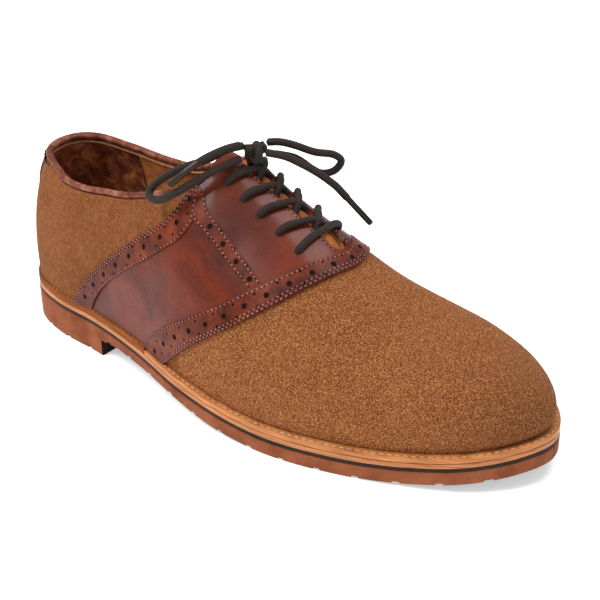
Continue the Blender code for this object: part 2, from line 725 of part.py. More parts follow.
# Lace across the throat: a cross from each pair of holes to the next, fused
def tube_mesh(points, radius, turn, sides=6):
    """Rings of points round a path, with flat ends."""
    p = [np.array(q, float) for q in points]
    verts, faces = [], []
    up = np.array([0.0, 0.0, 1.0])
    for i, q in enumerate(p):
        along = p[min(i + 1, len(p) - 1)] - p[max(i - 1, 0)]
        along = along / np.linalg.norm(along)
        across = np.cross(along, up)
        across = across / np.linalg.norm(across)
        rise = np.cross(across, along)
        for j in range(sides):
            a = 2 * pi * (j + turn) / sides
            verts.append(place(q + radius * (across * cos(a) + rise * sin(a))))
    for i in range(len(p) - 1):
        for j in range(sides):
            k = (j + 1) % sides
            faces.append((sides * i + j, sides * i + k, sides * (i + 1) + k, sides * (i + 1) + j))
    faces.append(tuple(range(sides)))
    faces.append(tuple(sides * (len(p) - 1) + j for j in reversed(range(sides))))
    return verts, faces


RADIUS = 0.5 * LACE_THICK
REST = SEAM + SADDLE + SEAM + RADIUS      # the lace's centre over the upper's surface


END_APART = -0.25 * LACE_THICK / LENGTH   # a run's two ends stand off the middle of their holes


def crossing(x0, side0, x1, lift):
    """From a hole at one side, over the crown, to a hole at the other side."""
    points = []
    for i in range(9):
        u = i / 8
        x = x0 + (x1 - x0) * u + END_APART * (1 - 2 * u)
        side = side0 if u < 0.5 else -side0
        t = EYELET_HEIGHT + (1 - EYELET_HEIGHT) * (1 - abs(2 * u - 1))
        points.append(shell(x, side, min(t, 1.0), REST + lift * sin(pi * u) ** 2))
    middle = 0.5 * (x0 + x1)
    points[4] = (shell(middle, -1, 1.0, REST + lift) + shell(middle, 1, 1.0, REST + lift)) / 2
    return points


pieces = [crossing(EYELET_ROWS[0], -1, EYELET_ROWS[0], 0.0)]
for first, second in zip(EYELET_ROWS, EYELET_ROWS[1:]):
    pieces.append(crossing(first, -1, second, 0.0))
    pieces.append(crossing(first, 1, second, 0.22 * LACE_THICK))
main = None
for i, points in enumerate(pieces):
    verts, faces = tube_mesh(points, RADIUS * (1 + 0.004 * i), 0.17 * (i % 3))
    piece = body("lace_crossings" if i == 0 else "lace_run_%d" % i, verts, faces, LACE)
    if i == 0:
        main = piece
        continue
    piece.hide_render = True
    piece.display_type = "WIRE"
    join = main.modifiers.new("join_%d" % i, "BOOLEAN")
    join.operation = "UNION"
    join.solver = "EXACT"
    join.object = piece

# The bow: knot, two loops and two ends with stiff tips. Its points are shares of
# the length from the back of the heel, of the ball's width, and of the instep's height.
KNOT = (0.4761, 0.0000, 1.0348)
LOOP_LATERAL = (
    (0.4620, -0.0348, 1.0478), (0.4479, -0.1014, 1.0400), (0.4279, -0.1691, 1.0061),
    (0.3977, -0.2415, 0.9722), (0.3715, -0.2976, 0.9235), (0.3607, -0.3333, 0.8852),
    (0.3659, -0.3614, 0.8652), (0.3856, -0.3652, 0.8643), (0.4092, -0.3343, 0.8991),
    (0.4361, -0.2628, 0.9530), (0.4564, -0.1739, 0.9930), (0.4689, -0.0821, 1.0087),
)
LOOP_MEDIAL = (
    (0.4836, 0.0599, 1.0487), (0.4984, 0.0986, 1.0470), (0.5148, 0.1459, 1.0278),
    (0.5361, 0.2048, 0.9957), (0.5564, 0.2618, 0.9809), (0.5659, 0.2889, 0.9504),
    (0.5587, 0.2676, 0.9104), (0.5449, 0.2300, 0.9000), (0.5338, 0.1990, 0.9200),
    (0.5148, 0.1459, 0.9730), (0.4928, 0.0821, 0.9974),
)
END_LATERAL = (
    (0.4656, -0.0696, 1.0626), (0.4541, -0.1353, 1.0565), (0.4410, -0.2242, 1.0365),
    (0.4252, -0.2879, 0.9957), (0.4052, -0.3459, 0.9374),
)
END_MEDIAL = (
    (0.4952, 0.0087, 1.0261), (0.5187, 0.0522, 1.0113), (0.5390, 0.0889, 0.9826),
    (0.5613, 0.1275, 0.9443), (0.5820, 0.1643, 0.8974), (0.5925, 0.1836, 0.8635),
    (0.6111, 0.2164, 0.7983), (0.6315, 0.2512, 0.7287),
)


def bow_point(shares):
    return np.array([shares[0] * LENGTH, shares[1] * BALL_WIDTH, shares[2] * INSTEP_HEIGHT])


def smooth_route(points, step):
    """Points at an even step along a smooth curve through the route's own."""
    p = [bow_point(q) for q in points]
    p = [2 * p[0] - p[1]] + p + [2 * p[-1] - p[-2]]
    fine = []
    for i in range(1, len(p) - 2):
        for u in np.linspace(0, 1, 12, endpoint=False):
            a, b, c, d = p[i - 1], p[i], p[i + 1], p[i + 2]
            fine.append(0.5 * (2 * b + (c - a) * u + (2 * a - 5 * b + 4 * c - d) * u**2
                               + (3 * b - a - 3 * c + d) * u**3))
    fine.append(p[-2])
    fine = np.array(fine)
    run = np.concatenate([[0.0], np.cumsum(np.linalg.norm(np.diff(fine, axis=0), axis=1))])
    count = max(int(round(run[-1] / step)), 2)
    at = np.linspace(0, run[-1], count + 1)
    return np.stack([np.interp(at, run, fine[:, k]) for k in range(3)], 1)


def cord_tube(name, points, thick):
    curve = bpy.data.curves.new(name, "CURVE")
    curve.dimensions = "3D"
    curve.bevel_depth = 0.5 * thick
    curve.bevel_resolution = 2
    curve.use_fill_caps = True
    spline = curve.splines.new("POLY")
    spline.points.add(len(points) - 1)
    for i, q in enumerate(points):
        spline.points[i].co = (*place(q), 1.0)
    curve.materials.append(LACE)
    thing = bpy.data.objects.new(name, curve)
    bpy.context.scene.collection.objects.link(thing)
    return thing


cord_tube("lace_loop_lateral", smooth_route(LOOP_LATERAL, 2 * LACE_THICK), LACE_THICK)
cord_tube("lace_loop_medial", smooth_route(LOOP_MEDIAL, 2 * LACE_THICK), LACE_THICK)
for tag, route in (("lateral", END_LATERAL), ("medial", END_MEDIAL)):
    line = smooth_route(route, 0.28 * LACE_THICK)
    whole = len(line) - 1
    step = np.linalg.norm(line[1] - line[0])
    tip = int(round(AGLET_LENGTH / step))
    part = line[:whole - tip + 1]
    count = max(3, int(len(part) * step / (2 * LACE_THICK)) + 1)
    picked = [part[int(round(i))] for i in np.linspace(0, len(part) - 1, count)]
    cord_tube("lace_end_" + tag, picked, LACE_THICK)
    ahead = line[whole] - part[-1]
    start = part[-1] + ahead / np.linalg.norm(ahead) * GAP * 1.5
    cord_tube("aglet_" + tag, [start, 0.5 * (start + line[whole]), line[whole]], 0.82 * LACE_THICK)

bm = bmesh.new()
bmesh.ops.create_uvsphere(bm, u_segments=12, v_segments=8, radius=0.5)
mesh = bpy.data.meshes.new("lace_knot")
bm.to_mesh(mesh)
bm.free()
for v in mesh.vertices:
    v.co.x *= KNOT_SIZE
    v.co.y *= 0.95 * KNOT_SIZE
    v.co.z *= 0.80 * KNOT_SIZE
mesh.materials.append(LACE)
mesh.shade_smooth()
knot = bpy.data.objects.new("lace_knot", mesh)
knot.location = place(bow_point(KNOT))
bpy.context.scene.collection.objects.link(knot)
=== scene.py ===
"""Looks of the saddle shoe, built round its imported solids.

Every surface lies on the same form as the solids: a station x along the shoe,
a side (-1 lateral, +1 medial) and a share t from the feather edge (0) to the
crown (1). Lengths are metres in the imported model's frame.
"""
from math import cos, pi, radians, sin, sqrt

import bpy
import numpy as np
from mathutils import Matrix, Vector


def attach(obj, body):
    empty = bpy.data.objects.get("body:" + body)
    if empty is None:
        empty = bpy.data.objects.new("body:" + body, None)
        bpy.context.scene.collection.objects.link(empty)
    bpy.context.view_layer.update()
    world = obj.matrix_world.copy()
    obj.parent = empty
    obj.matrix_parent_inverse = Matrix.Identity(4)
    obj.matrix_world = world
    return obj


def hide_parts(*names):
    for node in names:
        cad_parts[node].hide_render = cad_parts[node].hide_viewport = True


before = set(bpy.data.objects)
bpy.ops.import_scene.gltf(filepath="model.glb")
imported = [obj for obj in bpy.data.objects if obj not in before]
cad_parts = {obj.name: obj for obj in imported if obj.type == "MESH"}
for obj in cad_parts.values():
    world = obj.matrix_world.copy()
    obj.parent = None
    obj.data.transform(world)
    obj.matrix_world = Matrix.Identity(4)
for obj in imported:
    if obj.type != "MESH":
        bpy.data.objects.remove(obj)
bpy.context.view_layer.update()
LATERAL_SIDE, MEDIAL_SIDE = -1, 1
BOTH = (LATERAL_SIDE, MEDIAL_SIDE)

# Sizes, as in the solids
LENGTH = 0.305
HEEL_WIDTH, WAIST_WIDTH, BALL_WIDTH, TOE_WIDTH = 0.0775, 0.085, 0.1035, 0.0905
OUTSOLE, RUBBER_LINE, MIDSOLE, WELT = 0.0072, 0.0012, 0.0028, 0.0028
STACK = OUTSOLE + RUBBER_LINE + MIDSOLE + WELT
HEEL_LIFT, TOE_SPRING = 0.0098, 0.0085
LEDGE, BULGE, WALL, GAP, HEEL_LEAN = 0.0036, 0.0030, 0.0022, 0.0003, 0.0021
BACK_HEIGHT, INSTEP_HEIGHT, BALL_HEIGHT, TOE_HEIGHT = 0.0945, 0.1150, 0.0680, 0.0530
HEEL_BREAST, WELT_START, WELT_WIDTH = 0.235, 0.362, 0.0080
BINDING, BINDING_WIDTH = 0.0034, 0.0042
LACE_THICK = 0.0036
GROOVE, GROOVE_DEPTH, GROOVE_PITCH = 0.0028, 0.0016, 0.0175
THROAT_GAP_TOP, THROAT_GAP_LOW, FACING_TOP, THROAT_END = 0.0090, 0.0085, 0.445, 0.635
HEEL_FAN, TOE_FAN, FAN_BLEND, TIP_SHARE = 0.150, 0.810, 0.080, 0.060

# Heights above the suede: the leathers laid on it
SADDLE_LOW, SADDLE_TOP = 0.0001, 0.0010
BAND_LOW, BAND_TOP = 0.00108, 0.00155

# Tables of the form, as in the solids
OUTLINE = (
    (0.012, 0.213, 0.200, HEEL_WIDTH), (0.050, 0.368, 0.350, HEEL_WIDTH),
    (0.120, 0.466, 0.454, HEEL_WIDTH), (0.220, 0.510, 0.487, HEEL_WIDTH),
    (0.340, 0.547, 0.388, WAIST_WIDTH), (0.450, 0.645, 0.353, WAIST_WIDTH),
    (0.560, 0.566, 0.348, BALL_WIDTH), (0.660, 0.551, 0.449, BALL_WIDTH),
    (0.750, 0.490, 0.498, BALL_WIDTH), (0.840, 0.455, 0.547, TOE_WIDTH),
    (0.920, 0.320, 0.440, TOE_WIDTH), (0.975, 0.137, 0.270, TOE_WIDTH),
)
SOLE_RISE = (
    (0.00, 1.00, 0.00), (0.14, 0.97, 0.00), (0.26, 0.90, 0.00), (0.36, 0.70, 0.00),
    (0.46, 0.41, 0.00), (0.56, 0.13, 0.00), (0.64, 0.00, 0.00), (0.74, 0.00, 0.00),
    (0.82, 0.00, 0.12), (0.90, 0.00, 0.43), (1.00, 0.00, 1.00),
)
SECTIONS = (
    (0.00, 1.30 * BACK_HEIGHT, 0.000, 2.0, 3.0, 3.0, 0.60, 0.40),
    (0.06, 1.22 * BACK_HEIGHT, 0.000, 2.0, 2.8, 2.8, 0.60, 0.42),
    (0.12, 1.13 * BACK_HEIGHT, 0.000, 2.0, 2.6, 2.6, 0.50, 0.45),
    (0.24, 1.15 * BACK_HEIGHT, 0.010, 2.0, 2.1, 2.2, 0.40, 0.60),
    (0.34, 1.01 * INSTEP_HEIGHT, 0.016, 2.0, 1.85, 2.0, 0.40, 0.70),
    (0.42, 1.00 * INSTEP_HEIGHT, 0.014, 2.0, 1.75, 2.0, 0.50, 0.80),
    (0.52, 0.865 * INSTEP_HEIGHT, 0.014, 2.0, 1.7, 1.9, 0.60, 0.85),
    (0.62, 1.22 * BALL_HEIGHT, 0.016, 2.1, 1.8, 1.9, 0.70, 0.95),
    (0.70, 1.00 * BALL_HEIGHT, 0.022, 2.3, 2.0, 2.0, 0.75, 1.00),
    (0.78, 1.11 * TOE_HEIGHT, 0.030, 2.6, 2.2, 2.2, 0.80, 1.05),
    (0.86, 1.00 * TOE_HEIGHT, 0.040, 2.8, 2.4, 2.4, 0.90, 1.10),
    (0.93, 0.92 * TOE_HEIGHT, 0.045, 2.9, 2.5, 2.5, 1.00, 1.15),
    (1.00, 0.80 * TOE_HEIGHT, 0.050, 2.9, 2.5, 2.5, 1.00, 1.20),
)
TOPLINE = (
    (0.00, 1.000 * BACK_HEIGHT), (0.04, 0.990 * BACK_HEIGHT), (0.08, 0.973 * BACK_HEIGHT),
    (0.12, 0.947 * BACK_HEIGHT), (0.16, 0.926 * BACK_HEIGHT), (0.20, 0.913 * BACK_HEIGHT),
    (0.24, 0.915 * BACK_HEIGHT), (0.28, 0.770 * INSTEP_HEIGHT), (0.32, 0.805 * INSTEP_HEIGHT),
    (0.36, 0.852 * INSTEP_HEIGHT), (0.40, 0.904 * INSTEP_HEIGHT), (0.45, 0.970 * INSTEP_HEIGHT),
)
# Where the lateral rim stands higher than in the solids, and how full the sides are
NEAR_RIM = (
    (0.00, 0.0), (0.05, -0.0005), (0.10, -0.0012), (0.15, -0.0004), (0.20, 0.0014),
    (0.25, 0.0030), (0.30, 0.0028), (0.35, 0.0014), (0.39, 0.0), (0.45, 0.0),
)
FULLNESS = (
    (0.00, 0.3), (0.10, 0.5), (0.22, 0.9), (0.60, 1.0), (0.76, 0.60), (0.88, 0.70),
    (0.95, 1.0), (1.00, 1.1),
)
# Edges of the saddle and of its punched bands, as (x, t)
REAR_EDGE = (
    (0.165, 0.000), (0.198, 0.090), (0.241, 0.208), (0.286, 0.307), (0.337, 0.411),
    (0.388, 0.535), (0.411, 0.680), (0.414, 0.760),
)
REAR_INNER = (
    (0.213, 0.000), (0.232, 0.072), (0.261, 0.153), (0.303, 0.241), (0.349, 0.327),
    (0.389, 0.414), (0.425, 0.500), (0.439, 0.580),
)
FRONT_EDGE = (
    (0.408, 0.000), (0.450, 0.113), (0.492, 0.220), (0.564, 0.400), (0.615, 0.580),
    (0.648, 0.792), (0.665, 1.000),
)
FRONT_INNER = (
    (0.345, 0.000), (0.378, 0.095), (0.458, 0.255), (0.527, 0.421), (0.559, 0.515),
    (0.584, 0.603), (0.603, 0.690), (0.622, 0.820), (0.643, 1.000),
)
SLANT_LOWER = ((0.439, 0.580), (0.470, 0.574), (0.513, 0.556), (0.556, 0.530), (0.580, 0.510))
SLANT_UPPER = (
    (0.419, 0.745), (0.438, 0.690), (0.453, 0.654), (0.470, 0.645), (0.513, 0.626),
    (0.556, 0.600), (0.594, 0.572),
)
EYELET_ROWS = (0.597, 0.560, 0.523, 0.491, 0.461)
EYELET_HEIGHT = 0.810
EYELET, BIG_HOLE, SMALL_HOLE = 0.0017, 0.00135, 0.00062      # radii of the punched holes
TWIN_SHIFT = 0.0030                      # the small holes lie this far off a band's middle
STITCH_PITCH, STITCH_LIFT = 0.0024, 0.00008
EVEN_STEPS = 1600                        # steps over which a line's real length is taken
SLANT_TOP = 0.4235                       # the slanting band's upper end, at the collar
TURN_START, TURN_END = 0.425, 0.455      # the collar turns into the facings' edges here
RAND_RISE = 0.0013                       # the heel strip stands this much above the seat
RAND_END, RAND_FULL = 0.385, 0.365       # its rise starts at the one and is whole at the other
FOOTBED, INSIDE = 0.003, -0.0024          # the footbed's thickness; the lining's inner face
STEP_X, STEP_T = 0.004, 0.01             # steps over which the surface's slopes are taken
# The drawn-in end of a cord: shares of its radius, and how far out, in 0.6 radii
TIP_ROUNDING = ((0.0, 0.75), (0.55, 0.3), (0.85, 0.08))


def unit(v):
    return v / np.maximum(np.linalg.norm(v, axis=-1, keepdims=True), 1e-12)


def smooth(u):
    return u * u * (3 - 2 * u)


def climb_of(x, start, end):
    """0 before start, 1 after end, even between; start may lie after end."""
    return np.clip((x - start) / (end - start), 0.0, 1.0)


def lengths(line):
    """How far along a line each of its points lies."""
    return np.concatenate([[0.0], np.cumsum(np.linalg.norm(np.diff(line, axis=0), axis=1))])


def run_of(line):
    return float(lengths(line)[-1])


def cut_at(line, at, run=None):
    """The line's points at the given lengths from its start."""
    run = lengths(line) if run is None else run
    return np.stack([np.interp(at, run, column) for column in line.T], -1)


def hermite(u, a, b, slope_a, slope_b):
    return ((2 * u**3 - 3 * u**2 + 1) * a + (u**3 - 2 * u**2 + u) * slope_a
            + (3 * u**2 - 2 * u**3) * b + (u**3 - u**2) * slope_b)


def curve(rows, column=1, across=0):
    """A smooth curve with no overshoot through one column of a table."""
    xs = np.array([row[across] for row in rows])
    ys = np.array([row[column] for row in rows])
    step = np.diff(xs)
    rise = np.diff(ys) / step
    slope = np.zeros(len(xs))
    for i in range(1, len(xs) - 1):
        if rise[i - 1] * rise[i] > 0:
            a = 2 * step[i] + step[i - 1]
            b = step[i] + 2 * step[i - 1]
            slope[i] = (a + b) / (a / rise[i - 1] + b / rise[i])
    slope[0], slope[-1] = rise[0], rise[-1]

    def at(x):
        x = np.asarray(x, float)
        i = np.clip(np.searchsorted(xs, x, side="right") - 1, 0, len(step) - 1)
        u = np.clip((x - xs[i]) / step[i], 0.0, 1.0)
        return hermite(u, ys[i], ys[i + 1], step[i] * slope[i], step[i] * slope[i + 1])

    return at


def closed_outline(count):
    """The sole's edge as a smooth closed curve, from the back of the heel along
    the lateral side to the toe tip and back along the medial side."""
    p = np.array([(0.0, 0.0)] + [(row[0] * LENGTH, -row[1] * row[3]) for row in OUTLINE]
                 + [(LENGTH, TIP_SHARE * TOE_WIDTH)]
                 + [(row[0] * LENGTH, row[2] * row[3]) for row in reversed(OUTLINE)])
    ahead, behind = np.roll(p, -1, 0), np.roll(p, 1, 0)
    knot = np.concatenate([[0.0], np.cumsum(np.sqrt(np.linalg.norm(ahead - p, axis=1)))])
    after = np.diff(knot)[:, None]
    before = np.roll(after, 1, 0)
    tangent = ((p - behind) / before * after + (ahead - p) / after * before) / (before + after)
    u = np.linspace(0, knot[-1], count, endpoint=False)
    i = np.clip(np.searchsorted(knot, u, side="right") - 1, 0, len(p) - 1)
    j = (i + 1) % len(p)
    v = (u - knot[i])[:, None] / after[i]
    return hermite(v, p[i], p[j], after[i] * tangent[i], after[i] * tangent[j])


EDGE = closed_outline(3600)
TIP = int(EDGE[:, 0].argmax())
WAY = unit(np.roll(EDGE, -1, 0) - np.roll(EDGE, 1, 0))
INWARD = np.stack([-WAY[:, 1], WAY[:, 0]], -1)
HALVES = {LATERAL_SIDE: (EDGE[:TIP + 1], INWARD[:TIP + 1]),
          MEDIAL_SIDE: tuple(np.vstack([q[TIP:], q[:1]])[::-1] for q in (EDGE, INWARD))}
CENTRE_X = LENGTH / 2
CENTRE_Y = (EDGE[:, 1].min() + EDGE[:, 1].max()) / 2
LIFT, SPRING = curve(SOLE_RISE, 1), curve(SOLE_RISE, 2)
CROWN, SPINE, ROUND, WALL_LATERAL, WALL_MEDIAL, BULGES, LEDGES = (
    curve(SECTIONS, column) for column in range(1, 8))
COLLAR, NEAR_LIFT, SWELL = curve(TOPLINE), curve(NEAR_RIM), curve(FULLNESS)
REAR_X, FRONT_INNER_X = curve(REAR_EDGE, 0, 1), curve(FRONT_INNER, 0, 1)


def place(points):
    """Points measured from the back of the heel, moved into the model's frame."""
    return np.asarray(points, float) - (CENTRE_X, CENTRE_Y, 0.0)


def edge(x, side, inset=0.0):
    """Points of the sole's edge in plan, moved square to it into the sole."""
    line, turn = HALVES[side]
    here = np.clip(np.asarray(x, float), 0.0, 1.0) * LENGTH
    i = np.clip(np.searchsorted(line[:, 0], here), 1, len(line) - 1)
    a, b = line[i - 1], line[i]
    u = np.clip((here - a[..., 0]) / np.maximum(b[..., 0] - a[..., 0], 1e-9), 0.0, 1.0)[..., None]
    inward = turn[i - 1] * (1 - u) + turn[i] * u
    return a + (b - a) * u + inward * np.asarray(inset)[..., None]


def under(x):
    return LIFT(x) * HEEL_LIFT + SPRING(x) * TOE_SPRING


def seat(x):
    return under(x) + STACK


def eased(x):
    low, high, width = HEEL_FAN, TOE_FAN, FAN_BLEND / 2
    d = np.clip(0.5 + 0.5 * (x - low) / width, 0.0, 1.0)
    x = low * (1 - d) + x * d + width * d * (1 - d)
    d = np.clip(0.5 + 0.5 * (high - x) / width, 0.0, 1.0)
    return high * (1 - d) + x * d - width * d * (1 - d)


def raw(x, side, t):
    """Points of the upper's outer surface."""
    x, t = np.broadcast_arrays(np.asarray(x, float), np.clip(np.asarray(t, float), 0.0, 1.0))
    foot = edge(x, side, LEDGES(x) * LEDGE)
    spine_x = eased(x)
    spine = np.stack([spine_x * LENGTH, SPINE(spine_x) * BALL_WIDTH], -1)
    q = WALL_LATERAL(x) if side < 0 else WALL_MEDIAL(x)
    near = np.clip(np.minimum(x / 0.03, (1 - x) / 0.02), 0.0, 1.0)
    q = near * q + (1 - near) * 0.5 * (WALL_LATERAL(x) + WALL_MEDIAL(x))
    reach = np.maximum(np.cos(pi / 2 * t), 0.0) ** (2 / ROUND(x))
    climb = np.maximum(np.sin(pi / 2 * t), 0.0) ** (2 / q)
    out = foot - spine
    swell = SWELL(x) * BULGES(x) * BULGE * 4 * climb * (1 - climb)
    swell = swell - HEEL_LEAN * smooth(np.clip(1 - x / 0.16, 0, 1)) * smooth(np.clip(t / 0.35, 0, 1))
    plan = spine + out * (reach + swell / np.linalg.norm(out, axis=-1))[..., None]
    at = np.clip(plan[..., 0] / LENGTH, 0.0, 1.0)
    low = seat(at) + GAP
    return np.stack([plan[..., 0], plan[..., 1], low + (CROWN(at) - low) * climb], -1)


def slopes(x, side, t):
    """The surface's two slopes at a point, and its outward normal."""
    x0, x1 = np.maximum(x - STEP_X, 0.0005), np.minimum(x + STEP_X, 0.9995)
    t0, t1 = np.maximum(t - STEP_T, 0.002), np.minimum(t + STEP_T, 0.998)
    du = (raw(x1, side, t) - raw(x0, side, t)) / (x1 - x0)[..., None]
    dv = (raw(x, side, t1) - raw(x, side, t0)) / (t1 - t0)[..., None]
    return du, dv, unit(np.cross(du, dv) * -side)


def shell(x, side, t, off=0.0):
    """Points at a height above the upper's outer surface."""
    x, t = np.broadcast_arrays(np.asarray(x, float), np.clip(np.asarray(t, float), 0.0, 1.0))
    point = raw(x, side, t)
    w = np.clip((t - 0.93) / 0.07, 0.0, 1.0)[..., None]
    at = np.clip(point[..., 0] / LENGTH, STEP_X, 1 - STEP_X)
    slope = (CROWN(at + STEP_X) - CROWN(at - STEP_X)) / (2 * STEP_X * LENGTH)
    crown = unit(np.stack([-slope, 0 * slope, 1 + 0 * slope], -1))
    n = unit(slopes(x, side, t)[2] * (1 - w) + crown * w)
    return point + n * np.asarray(off)[..., None]


def spine_y(x):
    return SPINE(eased(x)) * BALL_WIDTH


def share_at(x, side, test):
    """The share t at which a test on the surface point turns true."""
    low, high = np.zeros_like(x), np.ones_like(x)
    for _ in range(24):
        mid = 0.5 * (low + high)
        true = test(raw(x, side, mid))
        high = np.where(true, mid, high)
        low = np.where(true, low, mid)
    return 0.5 * (low + high)


def half_gap(x):
    """Half the throat's width; its lower end is round."""
    u = np.clip((x - FACING_TOP) / (THROAT_END - FACING_TOP), 0.0, 1.0)
    half = 0.5 * (THROAT_GAP_TOP * (1 - u) + THROAT_GAP_LOW * u)
    bow = np.clip((x - THROAT_END) * LENGTH / (0.5 * THROAT_GAP_LOW) + 1, 0.0, 1.0)
    return half * np.sqrt(1 - bow**2)


def top_share(x, side):
    """Where the upper ends: the collar, the facing's edge, or the crown."""
    x = np.asarray(x, float)
    middle = spine_y(x)
    gap = share_at(x, side, lambda q: side * (q[..., 1] - middle) < np.maximum(half_gap(x), 1e-5))
    height = COLLAR(x) + NEAR_LIFT(x) * (side < 0) - BINDING - GAP
    collar = share_at(x, side, lambda q: q[..., 2] > height)
    w = smooth(climb_of(x, TURN_START, TURN_END))
    top = np.where(x > 0.30, np.minimum(gap, collar) * (1 - w) + gap * w, collar)
    return np.where(x >= THROAT_END, 1.0, top)


# Lines on the surface: rows of (x, t), evened out by their real length
def top_at(x, side):
    return float(top_share(np.array([x]), side)[0])


def evened(line, side, count):
    """A line's rows at even real lengths, and its whole length."""
    line = np.asarray(line, float)
    xt = cut_at(line, np.linspace(0, len(line) - 1, EVEN_STEPS), np.arange(len(line)))
    run = lengths(raw(xt[:, 0], side, xt[:, 1]))
    return cut_at(xt, np.linspace(0, run[-1], count), run), run[-1]


def inset(line, side, distance):
    """The line moved sideways over the surface by a real distance; positive goes
    to the right of the way it runs, seen from outside on the lateral side."""
    line = np.asarray(line, float)
    x, t = line[:, 0], line[:, 1]
    du, dv, n = slopes(x, side, t)
    want = np.cross(unit(np.gradient(raw(x, side, t), axis=0)), n) * -side * distance
    a, b, c = (du * du).sum(1), (du * dv).sum(1), (dv * dv).sum(1)
    e, f = (du * want).sum(1), (dv * want).sum(1)
    det = a * c - b * b
    return np.stack([x + (e * c - b * f) / det, np.clip(t + (a * f - b * e) / det, 0.0, 1.0)], -1)


def sampled(rows, count=90, by=1):
    """A table of (x, t) rows as a smooth line, read by its t, or by its x."""
    rows = np.asarray(rows, float)
    at = np.linspace(rows[0, by], rows[-1, by], count)
    line = [curve(rows, 1 - by, by)(at), at]
    return np.stack(line if by else line[::-1], -1)


def eased_crown(line):
    """Turns a line square to the crown over its last tenth, so both sides meet smoothly."""
    line = line.copy()
    start = np.interp(0.9, line[:, 1], line[:, 0])
    u = np.clip((line[:, 1] - 0.9) / 0.1, 0.0, 1.0)
    late = start + (line[-1, 0] - start) * (u - u**3 / 3)
    line[:, 0] = np.where(line[:, 1] > 0.9, late, line[:, 0])
    return line


# Building pieces
def alone(piece):
    bpy.ops.object.select_all(action="DESELECT")
    piece.select_set(True)
    bpy.context.view_layer.objects.active = piece


def points_of(piece):
    co = np.empty(3 * len(piece.data.vertices))
    piece.data.vertices.foreach_get("co", co)
    return co.reshape(-1, 3)


def laid(name, points, flip=False):
    """A grid of faces over an array of points, (columns, rows, 3)."""
    columns, rows = points.shape[0] - 1, points.shape[1] - 1
    bpy.ops.mesh.primitive_grid_add(x_subdivisions=columns, y_subdivisions=rows, size=2.0)
    piece = bpy.context.object
    piece.name = piece.data.name = name
    co = (points_of(piece)[:, :2] + 1) / 2
    i, j = np.round(co * (columns, rows)).astype(int).T
    piece.data.vertices.foreach_set("co", np.ascontiguousarray(place(points[i, j])).ravel())
    if flip:
        piece.data.flip_normals()
    piece.data.update()
    return piece


def joined(name, pieces, reach=2e-5, filled=False, outward=False):
    """The pieces as one mesh, with the points closer than reach made one; also
    with its holes filled and its faces turned outward."""
    alone(pieces[0])
    for piece in pieces:
        piece.select_set(True)
    if len(pieces) > 1:
        bpy.ops.object.join()
    piece = bpy.context.object
    piece.name = piece.data.name = name
    bpy.ops.object.mode_set(mode="EDIT")
    bpy.ops.mesh.select_all(action="SELECT")
    if reach:
        bpy.ops.mesh.remove_doubles(threshold=reach)
        bpy.ops.mesh.select_all(action="SELECT")
    if filled:
        bpy.ops.mesh.fill_holes(sides=0)
    if outward:
        bpy.ops.mesh.normals_make_consistent(inside=False)
    bpy.ops.object.mode_set(mode="OBJECT")
    return piece


def modify(piece, kind, **settings):
    alone(piece)
    step = piece.modifiers.new(kind.lower(), kind)
    for key, value in settings.items():
        setattr(step, key, value)
    bpy.ops.object.modifier_apply(modifier=step.name)
    return piece


def thickened(piece, thickness, bevel=0.0):
    """Gives a skin its leather's thickness, inwards, and softens its cut edges."""
    modify(piece, "SOLIDIFY", thickness=thickness, offset=-1.0, use_even_offset=False, use_rim=True)
    if bevel:
        modify(piece, "BEVEL", width=bevel, segments=2, limit_method="ANGLE",
               angle_limit=radians(55), use_clamp_overlap=True)
    return piece


def dressed(piece, materials, nodes=(), angle=40):
    """Gives a finished piece its materials and smooth shading, hangs it under the root and hides the solids
    it stands in for.
    """
    piece.data.materials.clear()
    for made in materials:
        piece.data.materials.append(made)
    alone(piece)
    bpy.ops.object.shade_smooth_by_angle(angle=radians(angle), keep_sharp_edges=False)
    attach(piece, "root")
    if nodes:
        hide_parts(*nodes)
    return piece


def copies(name, master, frames):
    """Copies of a small master mesh, one for each 4 x 4 frame, as one piece."""
    co = points_of(master)
    faces = [tuple(f.vertices) for f in master.data.polygons]
    smooth = np.concatenate([co, np.ones((len(co), 1))], 1)
    verts = np.einsum("kij,nj->kni", np.asarray(frames), smooth)[..., :3].reshape(-1, 3)
    made = [tuple(i + k * len(co) for i in face) for k in range(len(frames)) for face in faces]
    mesh = bpy.data.meshes.new(name)
    mesh.from_pydata([tuple(v) for v in verts], [], made)
    mesh.update()
    piece = bpy.data.objects.new(name, mesh)
    bpy.context.scene.collection.objects.link(piece)
    bpy.data.objects.remove(master)
    return piece


def frames_of(along, across, out, points):
    """4 x 4 frames from their three axes and their origins."""
    made = np.zeros((len(points), 4, 4))
    made[:, :3, 0], made[:, :3, 1], made[:, :3, 2] = along, across, out
    made[:, :3, 3] = place(points)
    made[:, 3, 3] = 1.0
    return made


def frames_on(line, side, height):
    """4 x 4 frames on a line on the surface: +X runs along it, +Z points out."""
    line = np.asarray(line, float)
    p = shell(line[:, 0], side, line[:, 1], height)
    n = slopes(line[:, 0], side, line[:, 1])[2]
    along = np.gradient(p, axis=0)
    along = unit(along - n * (along * n).sum(1, keepdims=True))
    return frames_of(along, np.cross(n, along), n, p)


